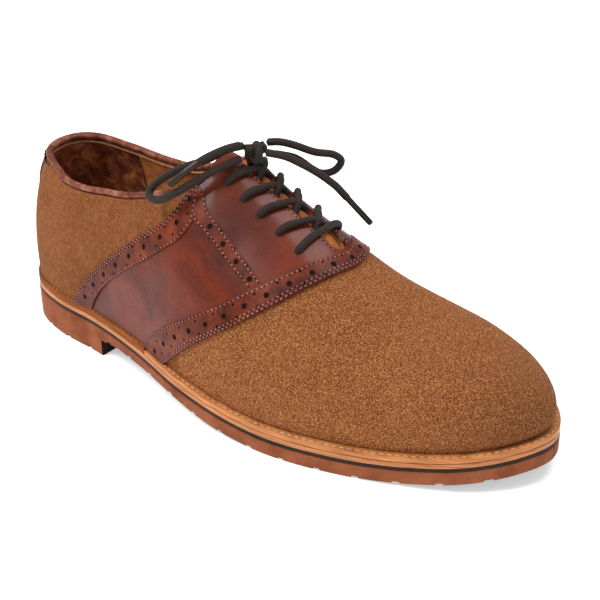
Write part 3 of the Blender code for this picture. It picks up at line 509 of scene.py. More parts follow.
def smooth_route(points, step):
    """Points at an even step along a smooth curve through the route's own."""
    p = [np.array(q, float) for q in points]
    p = np.array([2 * p[0] - p[1]] + p + [2 * p[-1] - p[-2]])
    u = np.linspace(0, 1, 24, endpoint=False)[:, None]
    fine = []
    for a, b, c, d in zip(p[:-3], p[1:-2], p[2:-1], p[3:]):
        fine.append(0.5 * (2 * b + (c - a) * u + (2 * a - 5 * b + 4 * c - d) * u**2
                           + (3 * b - a - 3 * c + d) * u**3))
    fine = np.vstack(fine + [p[-2:-1]])
    total = lengths(fine)[-1]
    return cut_at(fine, np.linspace(0, total, max(int(round(total / step)), 2) + 1))


def tube(name, points, radius, ring=12, thin=None):
    """A round cord along points: a grid rolled up, its ends drawn in. Its UV map
    counts turns across and centimetres along."""
    p = np.asarray(points, float)
    along = unit(np.gradient(p, axis=0))
    first = np.cross(along[0], (0.0, 0.0, 1.0))
    if np.linalg.norm(first) < 1e-3:
        first = np.cross(along[0], (0.0, 1.0, 0.0))
    across = [unit(first)]
    for a in along[1:]:
        across.append(unit(across[-1] - a * np.dot(across[-1], a)))
    across = np.array(across)
    rise = np.cross(along, across)
    radii = radius * (np.ones(len(p)) if thin is None else np.asarray(thin))
    share, back = np.array(TIP_ROUNDING).T
    back = 0.6 * radius * back[:, None]
    p = np.vstack([p[0] - along[0] * back, p, (p[-1] + along[-1] * back)[::-1]])
    radii = np.concatenate([share * radii[0], radii, share[::-1] * radii[-1]])[:, None]
    across, rise = (np.vstack([[q[0]] * len(share), q, [q[-1]] * len(share)]) for q in (across, rise))
    a = np.linspace(0, 2 * pi, ring + 1)[:, None, None]
    piece = laid(name, p + radii * (across * np.cos(a) + rise * np.sin(a)))
    uv = piece.data.uv_layers.active.data
    spots = np.empty(2 * len(uv))
    uv.foreach_get("uv", spots)
    spots[1::2] = 100 * np.interp(spots[1::2] * (len(p) - 1), np.arange(len(p)), lengths(p))
    uv.foreach_set("uv", spots)
    return joined(name, [piece], 1e-6)


# Materials
def linear(code):
    """An sRGB hex colour as linear red, green, blue and alpha."""
    parts = [int(code[i:i + 2], 16) / 255 for i in (1, 3, 5)]
    return tuple(c / 12.92 if c <= 0.04045 else ((c + 0.055) / 1.055) ** 2.4 for c in parts) + (1.0,)


def add(tree, kind, links=(), **settings):
    """Adds one node: settings are its own or its sockets' values, links a list
    of (socket of this node, socket that feeds it)."""
    node = tree.nodes.new(kind)
    for key, value in settings.items():
        if hasattr(node, key):
            setattr(node, key, value)
        else:
            node.inputs[key.replace("_", " ")].default_value = value
    for here, source in links:
        tree.links.new(node.inputs[here], source)
    return node


def ramp(tree, source, stops):
    node = add(tree, "ShaderNodeValToRGB", [("Fac", source)])
    band = node.color_ramp
    while len(band.elements) < len(stops):
        band.elements.new(0.5)
    for element, (at, code) in zip(band.elements, stops):
        element.position = at
        element.color = linear(code) if isinstance(code, str) else (code, code, code, 1.0)
    return node.outputs["Color"]


def finish_of(name, **settings):
    """A material with its Principled shader's settings, its tree and its shader."""
    made = bpy.data.materials.new(name)
    made.use_nodes = True
    tree = made.node_tree
    shader = tree.nodes["Principled BSDF"]
    for key, value in settings.items():
        shader.inputs[key.replace("_", " ")].default_value = value
    return made, tree, shader


def noise(tree, millimetres, detail=3.0, rough=0.5, stretch=(1, 1, 1), warp=0.0):
    """Noise on Object coordinates whose grain is that many millimetres."""
    where = add(tree, "ShaderNodeTexCoord").outputs["Object"]
    if stretch != (1, 1, 1):
        where = add(tree, "ShaderNodeMapping", [("Vector", where)], Scale=stretch).outputs["Vector"]
    return add(tree, "ShaderNodeTexNoise", [("Vector", where)], Scale=1000.0 / millimetres,
               Detail=detail, Roughness=rough, Distortion=warp).outputs["Fac"]


def blended(tree, amount, one, two, kind="MIX"):
    node = add(tree, "ShaderNodeMix", data_type="RGBA", blend_type=kind)
    for socket, source in ((node.inputs[0], amount), (node.inputs[6], one), (node.inputs[7], two)):
        if isinstance(source, bpy.types.NodeSocket):
            tree.links.new(socket, source)
        else:
            socket.default_value = source
    return node.outputs[2]


def bumped(tree, shader, height, depth, strength=1.0, before=None):
    links = [("Height", height)]
    if before is not None:
        links.append(("Normal", before))
    node = add(tree, "ShaderNodeBump", links, Distance=depth, Strength=strength)
    tree.links.new(shader.inputs["Normal"], node.outputs["Normal"])
    return node.outputs["Normal"]


def finish(name, grain, stops, over=None, bumps=(), **settings):
    """A material coloured by noise, with a second noise multiplied over it, given
    as (share, grain, stops), and bumps, each given as (grain, depth, strength)."""
    made, tree, shader = finish_of(name, **settings)
    colour = ramp(tree, noise(tree, *grain), stops)
    if over:
        share, grain, stops = over
        colour = blended(tree, share, colour, ramp(tree, noise(tree, *grain), stops), "MULTIPLY")
    tree.links.new(shader.inputs["Base Color"], colour)
    last = None
    for grain, depth, strength in bumps:
        last = bumped(tree, shader, noise(tree, *grain), depth, strength, last)
    return made, tree, shader


def suede_leather(name, depth, shade=1.0):
    """Split leather, brushed to a nap: soft light and dark patches where the nap lies one way or the other, a
    fine fibre, no gloss, and painted shade over the front of the toe."""
    made, tree, shader = finish_of(name, Roughness=0.93, Specular_IOR_Level=0.15,
                                   Sheen_Weight=0.10, Sheen_Roughness=0.45,
                                   Sheen_Tint=linear("#E0A878"))
    patches = ramp(tree, noise(tree, 26, 3, 0.55, warp=0.4), ((0.36, "#744020"), (0.66, "#935832")))
    mottle = ramp(tree, noise(tree, 2.4, 4, 0.65),
                  ((0.36, "#64341A"), (0.52, "#874F2A"), (0.68, "#A86C40")))
    fibre = ramp(tree, noise(tree, 0.62, 3, 0.75),
                 ((0.40, "#2E1406"), (0.52, "#8A502A"), (0.64, "#DC9C62")))
    mixed = blended(tree, 0.45, patches, mottle)
    mixed = blended(tree, depth, mixed, fibre)
    scuff = ramp(tree, noise(tree, 31, 2, 0.4), ((0.24, 0.86 * shade), (0.30, shade)))
    # Painted shade: the colour darkens towards the front of the toe, to 0.8 at its tip, standing in for the
    # shade on its front face.
    where = add(tree, "ShaderNodeTexCoord").outputs["Object"]
    ahead = add(tree, "ShaderNodeSeparateXYZ", [("Vector", where)]).outputs["X"]
    toe_front_shade = ramp(tree, ahead, ((0.108, 1.0), (0.147, 0.80)))
    mixed = blended(tree, 1.0, mixed, scuff, "MULTIPLY")
    tree.links.new(shader.inputs["Base Color"], blended(tree, 1.0, mixed, toe_front_shade, "MULTIPLY"))
    first = bumped(tree, shader, noise(tree, 0.9, 4, 0.75), 0.00030, 0.7)
    bumped(tree, shader, noise(tree, 3.0, 3, 0.6), 0.00030, 0.35, first)
    return made


def smooth_leather(name, stops, rough, coat, grain=0.55, depth=0.00006, tone=34, coat_rough=0.22):
    """Full-grain calf, burnished: darker clouds rubbed in by hand, fine pores and
    a wax coat with a soft broad gloss."""
    made, tree, shader = finish(name, (tone, 4, 0.55, (1, 1, 1), 0.6), stops,
                                (0.8, (1.6, 4, 0.65), ((0.35, 0.72), (0.65, 1.0))),
                                Coat_Weight=coat, Coat_Roughness=coat_rough, Specular_IOR_Level=0.13)
    spread = ramp(tree, noise(tree, 9, 3, 0.5), ((0.35, rough - 0.07), (0.65, rough + 0.09)))
    tree.links.new(shader.inputs["Roughness"], spread)
    where = add(tree, "ShaderNodeTexCoord").outputs["Object"]
    pores = add(tree, "ShaderNodeTexVoronoi", [("Vector", where)], feature="DISTANCE_TO_EDGE",
                Scale=1000.0 / grain).outputs["Distance"]
    first = bumped(tree, shader, ramp(tree, pores, ((0.0, 0.0), (0.22, 1.0))), depth, 0.5)
    bumped(tree, shader, noise(tree, 5.5, 3, 0.5), 0.00022, 0.35, first)
    return made


def cut_edge(name, dark, light):
    """The cut edge of a leather, its fibres showing."""
    return finish(name, (1.2, 4, 0.7), ((0.35, dark), (0.65, light)),
                  bumps=[((0.6, 3, 0.6), 0.00012, 0.6)], Roughness=0.85)[0]


def sole_leather(name, dark, light, rough=0.5, coat=0.06, shine=0.25):
    """Vegetable-tanned leather, edge-trimmed and waxed: long streaks along the edge."""
    return finish(name, (6, 5, 0.65, (0.35, 0.35, 7)), ((0.32, dark), (0.68, light)),
                  (0.85, (19, 3, 0.5), ((0.35, 0.82), (0.65, 1.0))),
                  [((1.1, 4, 0.6, (0.5, 0.5, 4)), 0.00012, 0.5), ((8, 3, 0.5), 0.0003, 0.3)],
                  Coat_Weight=coat, Coat_Roughness=0.3, Roughness=rough, Specular_IOR_Level=shine)[0]


def moulded_rubber(name, dark, light, rough=0.55):
    """Moulded rubber: matt, evenly coloured, with faint mould marks and dust."""
    return finish(name, (14, 4, 0.6), ((0.35, dark), (0.65, light)),
                  (0.7, (2.2, 4, 0.7), ((0.35, 0.80), (0.70, 1.0))),
                  [((1.3, 4, 0.6), 0.00012, 0.45)], Roughness=rough, Specular_IOR_Level=0.2)[0]


def braided(name, dark, light):
    """Waxed cotton lace, round braid: two sets of strands cross on the slant, with painted shade in the
    grooves between them.
    """
    made, tree, shader = finish_of(name, Roughness=0.66, Specular_IOR_Level=0.3, Sheen_Weight=0.04,
                                   Sheen_Roughness=0.5)
    uv = add(tree, "ShaderNodeUVMap")
    parts = add(tree, "ShaderNodeSeparateXYZ", [("Vector", uv.outputs["UV"])])
    strands, pitch = 6.0, 7.0            # strands round the lace, and slants a centimetre

    def sum_of(operation, *sources):
        return add(tree, "ShaderNodeMath", list(enumerate(sources)), operation=operation).outputs[0]

    angles = []
    for axis, count in (("X", strands), ("Y", pitch)):
        node = add(tree, "ShaderNodeMath", [(0, parts.outputs[axis])], operation="MULTIPLY")
        node.inputs[1].default_value = count * 2 * pi
        angles.append(node.outputs[0])
    height = sum_of("MAXIMUM", *(sum_of("SINE", sum_of(way, *angles)) for way in ("ADD", "SUBTRACT")))
    # Painted shade: dark in the grooves between the strands, light on their tops.
    tone = ramp(tree, height, ((0.0, dark), (0.9, light)))
    fibre = ramp(tree, noise(tree, 0.5, 3, 0.7), ((0.3, 0.6), (0.7, 1.0)))
    tree.links.new(shader.inputs["Base Color"], blended(tree, 0.6, tone, fibre, "MULTIPLY"))
    bumped(tree, shader, height, 0.00020, 0.8)
    return made


def thread(name, code, worn):
    """Waxed sewing thread."""
    return finish(name, (6, 3, 0.6), ((0.35, worn), (0.65, code)),
                  bumps=[((0.3, 2, 0.5, (3, 3, 3)), 0.00008, 0.6)], Roughness=0.6)[0]


def shadow_pit(name, code):
    """The inside of a punched or sewn hole, as painted shade: dark, matt."""
    return finish(name, (1.5, 2, 0.5), ((0.3, code), (0.7, code)), Roughness=0.95,
                  Specular_IOR_Level=0.1)[0]


SUEDE = suede_leather("suede_brushed_tan", 0.62)
SUEDE_REAR = suede_leather("suede_brushed_tan_fine", 0.26, 0.87)
SADDLE = smooth_leather("calf_burnished_red_brown",
                        ((0.30, "#421A12"), (0.47, "#602414"), (0.60, "#742C16"), (0.78, "#502016")),
                        0.36, 0.18, coat_rough=0.16)
BAND = smooth_leather("calf_punched_red_brown",
                      ((0.32, "#461A0E"), (0.50, "#662612"), (0.70, "#843A1C")), 0.42, 0.08, tone=11)
BACKSTAY_LEATHER = smooth_leather("calf_backstay_dark_brown",
                                  ((0.32, "#2E1612"), (0.50, "#45221A"), (0.70, "#5A3026")),
                                  0.42, 0.1, tone=11)
BINDING_LEATHER = smooth_leather("calf_binding_red_brown",
                                 ((0.32, "#5A2A1A"), (0.50, "#804430"), (0.70, "#AC7458")),
                                 0.42, 0.12, tone=7)
FOLD = cut_edge("lining_fold_pale", "#8A5634", "#C4946A")
TONGUE_SUEDE = smooth_leather("tongue_orange_tan",
                              ((0.32, "#A05428"), (0.55, "#C47640"), (0.75, "#E09A60")),
                              0.6, 0.05, tone=12)
LINING = smooth_leather("lining_brushed_brown",
                        ((0.30, "#A86434"), (0.50, "#CC864C"), (0.72, "#E2A466")),
                        0.82, 0.0, tone=9, grain=0.8, depth=0.00010)
LINING_HEEL = smooth_leather("lining_heel_dark_brown",
                             ((0.30, "#573023"), (0.50, "#884F36"), (0.72, "#C88857")),
                             0.88, 0.0, tone=7, grain=0.8, depth=0.00012)
WELT_LEATHER = sole_leather("welt_waxed_tan", "#A45E30", "#DC9458")
EDGE_LEATHER = sole_leather("midsole_waxed_tan", "#A05A2E", "#D8925A")
RAND_LEATHER = sole_leather("rand_stitched_brown", "#6E3612", "#A05A22", 0.7, 0.0, 0.12)
RUBBER = moulded_rubber("crepe_rubber_brick", "#7E4024", "#9E5A38", 0.75)
# Painted shade: near-black rubber for the heel's breast and the sole's underside, where shade falls.
RUBBER_PAINTED_SHADE = moulded_rubber("crepe_rubber_painted_shade", "#120C09", "#2A1A12", 0.9)
LINE = moulded_rubber("rubber_line_charcoal", "#1A130E", "#2E241C", 0.6)
LACE = braided("lace_waxed_cotton_brown", "#0C0605", "#38271F")
AGLET = smooth_leather("aglet_clear_over_brown", ((0.3, "#170E0A"), (0.7, "#30221A")), 0.30, 0.45, grain=0.9)
THREAD = thread("thread_waxed_pink_brown", "#B4827A", "#86544C")
WELT_THREAD = thread("thread_waxed_pale", "#ECC49C", "#D09A6C")
RAND_THREAD = thread("thread_waxed_dark", "#5E3418", "#3E1E0C")
# Painted shade: the dark beads set at the stitches' needle holes.
PIT = shadow_pit("hole_dark", "#140A07")
# Painted shade: the near-black sheet seen down the bands' punched holes.
PUNCH_SHADE = shadow_pit("punch_hole_painted_shade", "#1E1310")


# Camera: the photograph's angle, framing the one shoe
def add_camera():
    azimuth, elevation, roll = radians(37.56), radians(29.08), radians(-0.75)
    right = Vector((cos(azimuth), sin(azimuth), 0.0))
    back = Vector((cos(elevation) * sin(azimuth), -cos(elevation) * cos(azimuth), sin(elevation)))
    up = back.cross(right)
    turned = (right * cos(roll) + up * sin(roll), up * cos(roll) - right * sin(roll), back)
    spot = Vector((0.01734, 0.0037, 0.04684)) + back * 0.600
    data = bpy.data.cameras.new("camera")
    data.lens, data.sensor_width = 75.13, 36.0
    camera = bpy.data.objects.new("camera", data)
    bpy.context.scene.collection.objects.link(camera)
    camera.matrix_world = Matrix([[turned[c][r] for c in range(3)] + [spot[r]] for r in range(3)]
                                 + [[0.0, 0.0, 0.0, 1.0]])
    bpy.context.scene.camera = camera


add_camera()

# The bow: the same points as the solids, as shares of the length from the back
# of the heel, of the ball's width and of the instep's height
KNOT = (0.4761, 0.0000, 1.0348)
LOOP_LATERAL = (
    (0.4620, -0.0348, 1.0478), (0.4479, -0.1014, 1.0400), (0.4279, -0.1691, 1.0061),
    (0.3977, -0.2415, 0.9722), (0.3715, -0.2976, 0.9235), (0.3607, -0.3333, 0.8852),
    (0.3659, -0.3614, 0.8652), (0.3856, -0.3652, 0.8643), (0.4092, -0.3343, 0.8991),
    (0.4361, -0.2628, 0.9530), (0.4564, -0.1739, 0.9930), (0.4689, -0.0821, 1.0087),
)
LOOP_MEDIAL = (
    (0.4836, 0.0599, 1.0487), (0.4984, 0.0986, 1.0470), (0.5148, 0.1459, 1.0278),
    (0.5361, 0.2048, 0.9957), (0.5564, 0.2618, 0.9809), (0.5659, 0.2889, 0.9504),
    (0.5587, 0.2676, 0.9104), (0.5449, 0.2300, 0.9000), (0.5338, 0.1990, 0.9200),
    (0.5148, 0.1459, 0.9730), (0.4928, 0.0821, 0.9974),
)
END_LATERAL = (
    (0.4656, -0.0696, 1.0626), (0.4541, -0.1353, 1.0565), (0.4410, -0.2242, 1.0365),
    (0.4252, -0.2879, 0.9957), (0.4052, -0.3459, 0.9374),
)
END_MEDIAL = (
    (0.4952, 0.0087, 1.0261), (0.5187, 0.0522, 1.0113), (0.5390, 0.0889, 0.9826),
    (0.5613, 0.1275, 0.9443), (0.5820, 0.1643, 0.8974), (0.5925, 0.1836, 0.8635),
    (0.6111, 0.2164, 0.7983), (0.6315, 0.2512, 0.7287),
)
AGLET_LENGTH = 0.017


def bow_points(rows):
    return [np.array([x * LENGTH, y * BALL_WIDTH, z * INSTEP_HEIGHT]) for x, y, z in rows]


def bow():
    """Two loops that go back into the knot, and two ends with stiff tips."""
    for tag, route in (("lateral", LOOP_LATERAL), ("medial", LOOP_MEDIAL)):
        line = smooth_route(bow_points(route), 0.0007)
        loop = tube("bow_loop_" + tag, line, 0.5 * LACE_THICK, ring=16)
        dressed(loop, [LACE], ["lace_loop_" + tag], 60)
        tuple(place(line[:1])[0])
        run_of(line)
        place(line).tolist()
    for tag, route in (("lateral", END_LATERAL), ("medial", END_MEDIAL)):
        whole = smooth_route(bow_points(route), 0.0007)
        total = run_of(whole)
        run = np.linspace(0, total, len(whole))
        thin = 1 - 0.24 * np.clip((run - total + AGLET_LENGTH) / 0.0006, 0, 1)
        end = tube("bow_end_" + tag, whole[:-1], 0.5 * LACE_THICK, ring=16, thin=thin[:-1])
        dressed(end, [LACE], ["lace_end_" + tag], 60)
        tip = cut_at(whole, np.linspace(total - AGLET_LENGTH - 0.0004, total, 40))
        u = np.linspace(0, 1, 40)
        shape = np.where(u < 0.06, 0.92 + 0.08 * u / 0.06, 1.0) - 0.12 * np.clip((u - 0.93) / 0.07, 0, 1)
        aglet = tube("bow_tip_" + tag, tip, 0.41 * LACE_THICK, ring=18, thin=shape)
        dressed(aglet, [AGLET], ["aglet_" + tag], 50)
        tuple(place(whole[:1])[0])
        place(whole).tolist()


bow()


def knot():
    """The bow's knot: a bundle of strands held by one wrap that runs down to the throat."""
    x, y, z = bow_points([KNOT])[0]
    middle = np.array([x, y, z])
    radius = 0.5 * LACE_THICK
    axis = np.array([0.45, 0.89, 0.0])
    ahead = np.array([0.89, -0.45, 0.0])
    up = np.array([0.0, 0.0, 1.0])
    strands = []
    low = middle + np.array([0.0012, 0.0, -0.0018])
    turn = np.linspace(-0.45 * pi, 1.60 * pi, 60)
    ring = [low + ahead * 0.0034 * cos(a) + up * 0.0038 * sin(a) + axis * 0.0012 * (a / pi - 0.6)
            for a in turn]
    strands.append(np.array(ring))
    for shift, rise in ((0.0009, 0.0004), (-0.0011, 0.0008), (0.0, -0.0016)):
        strands.append(smooth_route([middle - axis * 0.0048 + ahead * shift * 1.2 + up * rise * 0.8,
                                     middle + ahead * shift + up * (rise - 0.0006),
                                     middle + axis * 0.0048 + ahead * shift * 1.2 + up * rise * 0.8], 0.0006))
    pieces = [tube("strand_%d" % i, s, radius * (1.0 if i == 0 else 0.92), ring=16)
              for i, s in enumerate(strands)]
    made = joined("bow_knot", pieces, 0)
    dressed(made, [LACE], ["lace_knot"], 60)


knot()


def lacing():
    """The lace through the holes: a straight bar at the lowest pair, then crosses
    that dive under the far facing, and two runs up to the knot."""
    on_top = SADDLE_TOP + 0.45 * LACE_THICK
    inside = -0.0010
    runs = []

    def at(x, side, t, off):
        return shell(np.array([x]), side, np.array([t]), np.array([off]))[0]

    def over(x, y_share, off):
        """A point over the throat; y_share runs from -1, one facing's edge, to 1."""
        half = float(half_gap(np.array([x]))[0])
        base = at(x, 1 if y_share > 0 else -1, 0.999, off)
        base[1] = float(spine_y(np.array([x]))[0]) + y_share * half
        return base

    row = EYELET_ROWS
    foot, mirrored = ([at(row[0], side, 0.800, -0.0012), at(row[0], side, 0.812, on_top * 0.72),
                       at(row[0] + 0.001, side, 0.86, on_top + 0.0003),
                       at(row[0] + 0.002, side, 0.93, on_top + 0.0001)] for side in BOTH)
    runs.append(foot + [over(row[0] + 0.003, 0.0, on_top - 0.0002)] + mirrored[::-1])
    for x0, x1 in zip(row[1:], row[:-1]):
        gap = x1 - x0
        for side in BOTH:
            lift = 0.0009 if side > 0 else -0.0001
            runs.append([at(x0, side, 0.795, -0.0014), at(x0 + 0.01 * gap, side, 0.812, on_top * 0.72),
                         at(x0 + 0.12 * gap, side, 0.855, on_top + 0.0003),
                         at(x0 + 0.30 * gap, side, 0.905, on_top + 0.0001),
                         over(x0 + 0.50 * gap, 0.75 * side, on_top + 0.3 * lift),
                         over(x0 + 0.68 * gap, 0.0, on_top - 0.0006 + lift),
                         over(x0 + 0.84 * gap, -0.60 * side, on_top - 0.0022),
                         at(x0 + 0.98 * gap, -side, 0.925, inside - 0.0014),
                         at(x0 + 1.08 * gap, -side, 0.86, inside - 0.0014)])
    middle = bow_points([KNOT])[0]
    for side in BOTH:
        runs.append([over(row[4] + 0.012, 0.5 * side, -0.0020), over(row[4] + 0.004, 0.42 * side, 0.0012),
                     over(row[4] - 0.004, 0.35 * side, 0.0048), middle + (0.0006, side * 0.0016, -0.0052),
                     middle + (0.0, side * 0.0010, -0.0026)])
    pieces = [tube("run_%d" % i, smooth_route(r, 0.0008), 0.5 * LACE_THICK * 0.97, ring=14)
              for i, r in enumerate(runs)]
    made = joined("lacing", pieces, 0)
    dressed(made, [LACE], ["lace_crossings"], 60)


lacing()


# The sole: layers, welt and heel strip
def stations(count):
    return 0.5 * (1 - np.cos(np.linspace(0.0, pi, count)))


GROOVES = [x / LENGTH for x in np.arange(0.5 * GROOVE_PITCH, LENGTH - 0.4 * GROOVE_PITCH, GROOVE_PITCH)
           if abs(x / LENGTH - HEEL_BREAST) * LENGTH > 1.2 * GROOVE]


def sole_slab(name, xs, low, high, profile, middle=4):
    """One layer of the sole. The profile gives points of its side, from the
    bottom up, as (how far in from the edge, how far up the layer in metres, and
    from which end: 0 the bottom, 1 the top)."""
    faces = low(xs), high(xs)
    lateral, medial = ([np.concatenate([edge(xs, side, inset),
                                        (faces[end] + rise)[:, None]], -1)
                        for inset, rise, end in profile] for side in BOTH)
    shares = [k / middle for k in range(1, middle)]
    bottom = [medial[0] * (1 - k) + lateral[0] * k for k in shares]
    top = [lateral[-1] * (1 - k) + medial[-1] * k for k in shares]
    loop = bottom + lateral + top + medial[::-1]
    points = np.array(loop + loop[:1]).swapaxes(0, 1)
    return joined(name, [laid(name, points)], 8e-6, outward=True)


def rounded(inset, thick, r, bulge=0.0):
    """A side profile with rounded corners and a slight belly."""
    c = (1 - sqrt(0.5)) * r
    return ((inset + r + 0.0012, 0.0, 0), (inset + r, 0.0, 0), (inset + c, c, 0), (inset, r, 0),
            (inset - bulge, 0.5 * thick, 0), (inset, -r, 1), (inset + c, -c, 1), (inset + r, 0.0, 1),
            (inset + r + 0.0012, 0.0, 1))


def tread_stations():
    half = 0.5 * GROOVE / LENGTH
    xs = list(stations(150))
    keep = [x for x in xs if all(abs(abs(x - g) - half) > 0.0012 for g in GROOVES)
            and abs(x - HEEL_BREAST) > 0.0012]
    for g in GROOVES:
        keep += [g - half - 0.0009, g - half, g + half, g + half + 0.0009]
    keep += [HEEL_BREAST, HEEL_BREAST + 0.0012]
    return np.array(sorted(keep))


def tread(xs):
    half = 0.5 * GROOVE / LENGTH
    waist = climb_of(xs, HEEL_BREAST, HEEL_BREAST + 0.05) * climb_of(xs, 0.53, 0.41)
    low = np.where(xs <= HEEL_BREAST, 0.0, under(xs) + 0.0019 * smooth(waist))
    for g in GROOVES:
        low = low + 0.5 * GROOVE_DEPTH * (np.abs(xs - g) <= half + 1e-6)
    return low


def above(rise):
    """The height of a layer's face along the shoe."""
    return lambda x: under(x) + rise


def sole():
    line_low = above(OUTSOLE - 0.0003)
    line_high = above(OUTSOLE + RUBBER_LINE + 0.0004)
    outsole = sole_slab("outsole_rubber", tread_stations(), tread, line_low, rounded(0.0, 0.0072, 0.0008))
    dressed(outsole, [RUBBER, RUBBER_PAINTED_SHADE], ["outsole"], 35)
    # Painted shade: the heel's breast and the underside ahead of it take the near-black rubber.
    for face in outsole.data.polygons:
        x, n = face.center.x + CENTRE_X, face.normal
        breast_in_shade = n.x > 0.5 and x < 0.3 * LENGTH and face.center.z < HEEL_LIFT + 0.001
        face.material_index = int(breast_in_shade or (n.z < -0.5 and x > HEEL_BREAST * LENGTH))
    line = sole_slab("dark_rubber_layer", stations(150), line_low, line_high, rounded(0.0004, 0.0019, 0.0003))
    dressed(line, [LINE], ["rubber_line"], 35)
    middle = sole_slab("midsole_leather", stations(150), line_high, above(OUTSOLE + RUBBER_LINE + MIDSOLE),
                       rounded(0.0003, 0.0024, 0.0002, 0.0001))
    dressed(middle, [EDGE_LEATHER], ["midsole"], 35)


sole()


def rim_points(first, last, front=True):
    """The sole's edge in plan, from x on the lateral side round to x on the
    medial side, by the toe or by the heel, with its inward direction."""
    a = int(np.argmin(np.abs(EDGE[:TIP, 0] - first * LENGTH)))
    b = TIP + int(np.argmin(np.abs(EDGE[TIP:, 0] - last * LENGTH)))
    index = np.arange(a, b + 1, 6) if front else np.arange(a + len(EDGE), b - 1, -6) % len(EDGE)
    along = unit(EDGE[(index + 12) % len(EDGE)] - EDGE[(index - 12) % len(EDGE)])
    return EDGE[index], np.stack([-along[:, 1], along[:, 0]], -1)


def seat_under(p):
    """The seat's height under points of the plan."""
    return seat(np.clip(p[:, 0] / LENGTH, 0, 1))


def edge_strip(name, front, outer, thick, belly=0.0):
    """Welt or heel strip: a flat leather strip along the sole's edge."""
    end = WELT_START if front else WELT_START - 2 * GAP / LENGTH
    p, inward = rim_points(end, end, front)
    r = 0.0004
    c = (1 - sqrt(0.5)) * r
    profile = ((WELT_WIDTH, -thick + GAP), (outer + r, -thick + GAP), (outer + c, -thick + GAP + c),
               (outer, -thick + GAP + r), (outer - belly, -0.5 * thick), (outer, -r), (outer + c, -c),
               (outer + r, 0.0), (outer + 0.0012, 0.0001), (outer + 0.0019, 0.0001), (WELT_WIDTH, 0.0))
    share = np.clip(p[:, 0] / LENGTH, 0, 1)
    whole = 0.0 if front else climb_of(share, RAND_END, RAND_FULL)
    hug = 0.0 if front else 0.0010 * climb_of(share, 0.02, 0.10)
    loop = []
    for inset_by, rise in profile + profile[:1]:
        q = p + inward * inset_by
        raised = RAND_RISE + hug * min(max((inset_by - outer - r) / 0.0015, 0.0), 1.0)
        z = seat_under(q) + rise + raised * whole * (rise > -0.0005)
        loop.append(np.stack([q[:, 0], q[:, 1], z], -1))
    points = np.array(loop).swapaxes(0, 1)
    return joined(name, [laid(name, points)], 8e-6, filled=True, outward=True)


def welt():
    strip = edge_strip("welt_leather", True, 0.0002, WELT)
    dressed(strip, [WELT_LEATHER], ["welt"], 35)
    rand = edge_strip("heel_strip_leather", False, 0.0004, WELT, 0.0002)
    dressed(rand, [RAND_LEATHER], ["heel_rand"], 35)


welt()


# The upper's skins
def skin(name, xs, rows, low, high, off, weld=2e-5):
    """A skin of the whole upper or a part of it: both sides, drawn together where
    they meet at the back and at the tip, and welded."""
    v = np.linspace(0, 1, rows + 1)
    sides = []
    for side in BOTH:
        lo, hi = low(xs, side), high(xs, side)
        t = lo[:, None] + (hi - lo)[:, None] * v
        x = np.repeat(xs[:, None], rows + 1, 1)
        sides.append(shell(x, side, t, off))
    reach = min(16, len(xs) - 1)
    for first, here in ((True, xs[0] < 1e-6), (False, xs[-1] > 1 - 1e-6)):
        if not here:
            continue
        lateral, medial = (p if first else p[::-1] for p in sides)
        line = np.concatenate([lateral[:reach][::-1], medial[1:reach]])
        line[reach - 1] = 0.5 * (lateral[0] + medial[0])
        fade = np.clip(1.6 - np.abs(np.arange(len(line)) - reach + 1) / (0.5 * reach), 0, 1)[1:-1, None, None]
        for _ in range(10):
            even = 0.25 * line[:-2] + 0.5 * line[1:-1] + 0.25 * line[2:]
            line[1:-1] = line[1:-1] * (1 - fade) + even * fade
        lateral[:reach], medial[:reach] = line[:reach][::-1], line[reach - 1:]
    return both_sides(name, sides, weld)


def both_sides(name, sides, weld):
    """The lateral and the medial half of a skin, welded."""
    halves = [laid(name + str(side), p, flip=side > 0) for side, p in zip(BOTH, sides)]
    return joined(name, halves, weld)


def tinted_behind(piece, x, index):
    """Gives the faces behind a station another of the piece's materials."""
    for face in piece.data.polygons:
        if face.center.x + CENTRE_X < x * LENGTH:
            face.material_index = index


def upper_stations():
    xs = list(stations(130))
    xs = [x for x in xs if not 0.400 < x < 0.680]
    xs += list(np.linspace(0.402, 0.610, 60)) + list(np.linspace(0.613, 0.634, 12))
    xs += [0.63495] + list(np.linspace(0.6368, 0.678, 12))
    return np.array(sorted(xs))


def upper():
    xs = upper_stations()
    outer = skin("upper_suede", xs, 40, lambda x, s: 0 * x, top_share, 0.0, weld=6e-5)
    thickened(outer, 0.0011, bevel=0.00015)
    dressed(outer, [SUEDE, SUEDE_REAR], ["upper"], 50)
    tinted_behind(outer, 0.45, 1)

    def below_top(x, side):
        top = top_share(x, side)
        return np.where(top >= 1, 1, top - 0.001)

    lining = skin("upper_lining", xs[xs < 0.90], 34, lambda x, s: 0 * x, below_top, -0.00115, weld=6e-5)
    thickened(lining, 0.00105)
    dressed(lining, [LINING, LINING_HEEL], [], 50)
    tinted_behind(lining, 0.1405, 1)


upper()


def insole():
    """Footbed: a leather sock, slightly dished across."""
    xs = np.linspace(0.028, 0.972, 110)
    loops = []
    for side in BOTH:
        p = edge(xs, side, LEDGES(xs) * LEDGE + WALL + 3 * GAP)
        loops.append(np.stack([p[:, 0], p[:, 1], seat_under(p) + GAP], -1))
    lateral, medial = loops
    v = np.linspace(0, 1, 17)
    dish = 0.0006 * np.sin(pi * v)
    top = [lateral * (1 - k) + medial * k + np.array([0, 0, FOOTBED - d]) for k, d in zip(v, dish)]
    low = [medial * (1 - k) + lateral * k for k in v[::4]]
    points = np.array(top + low + top[:1]).swapaxes(0, 1)
    piece = joined("footbed", [laid("footbed", points)], 8e-6, filled=True, outward=True)
    dressed(piece, [LINING], ["insole"], 40)


insole()


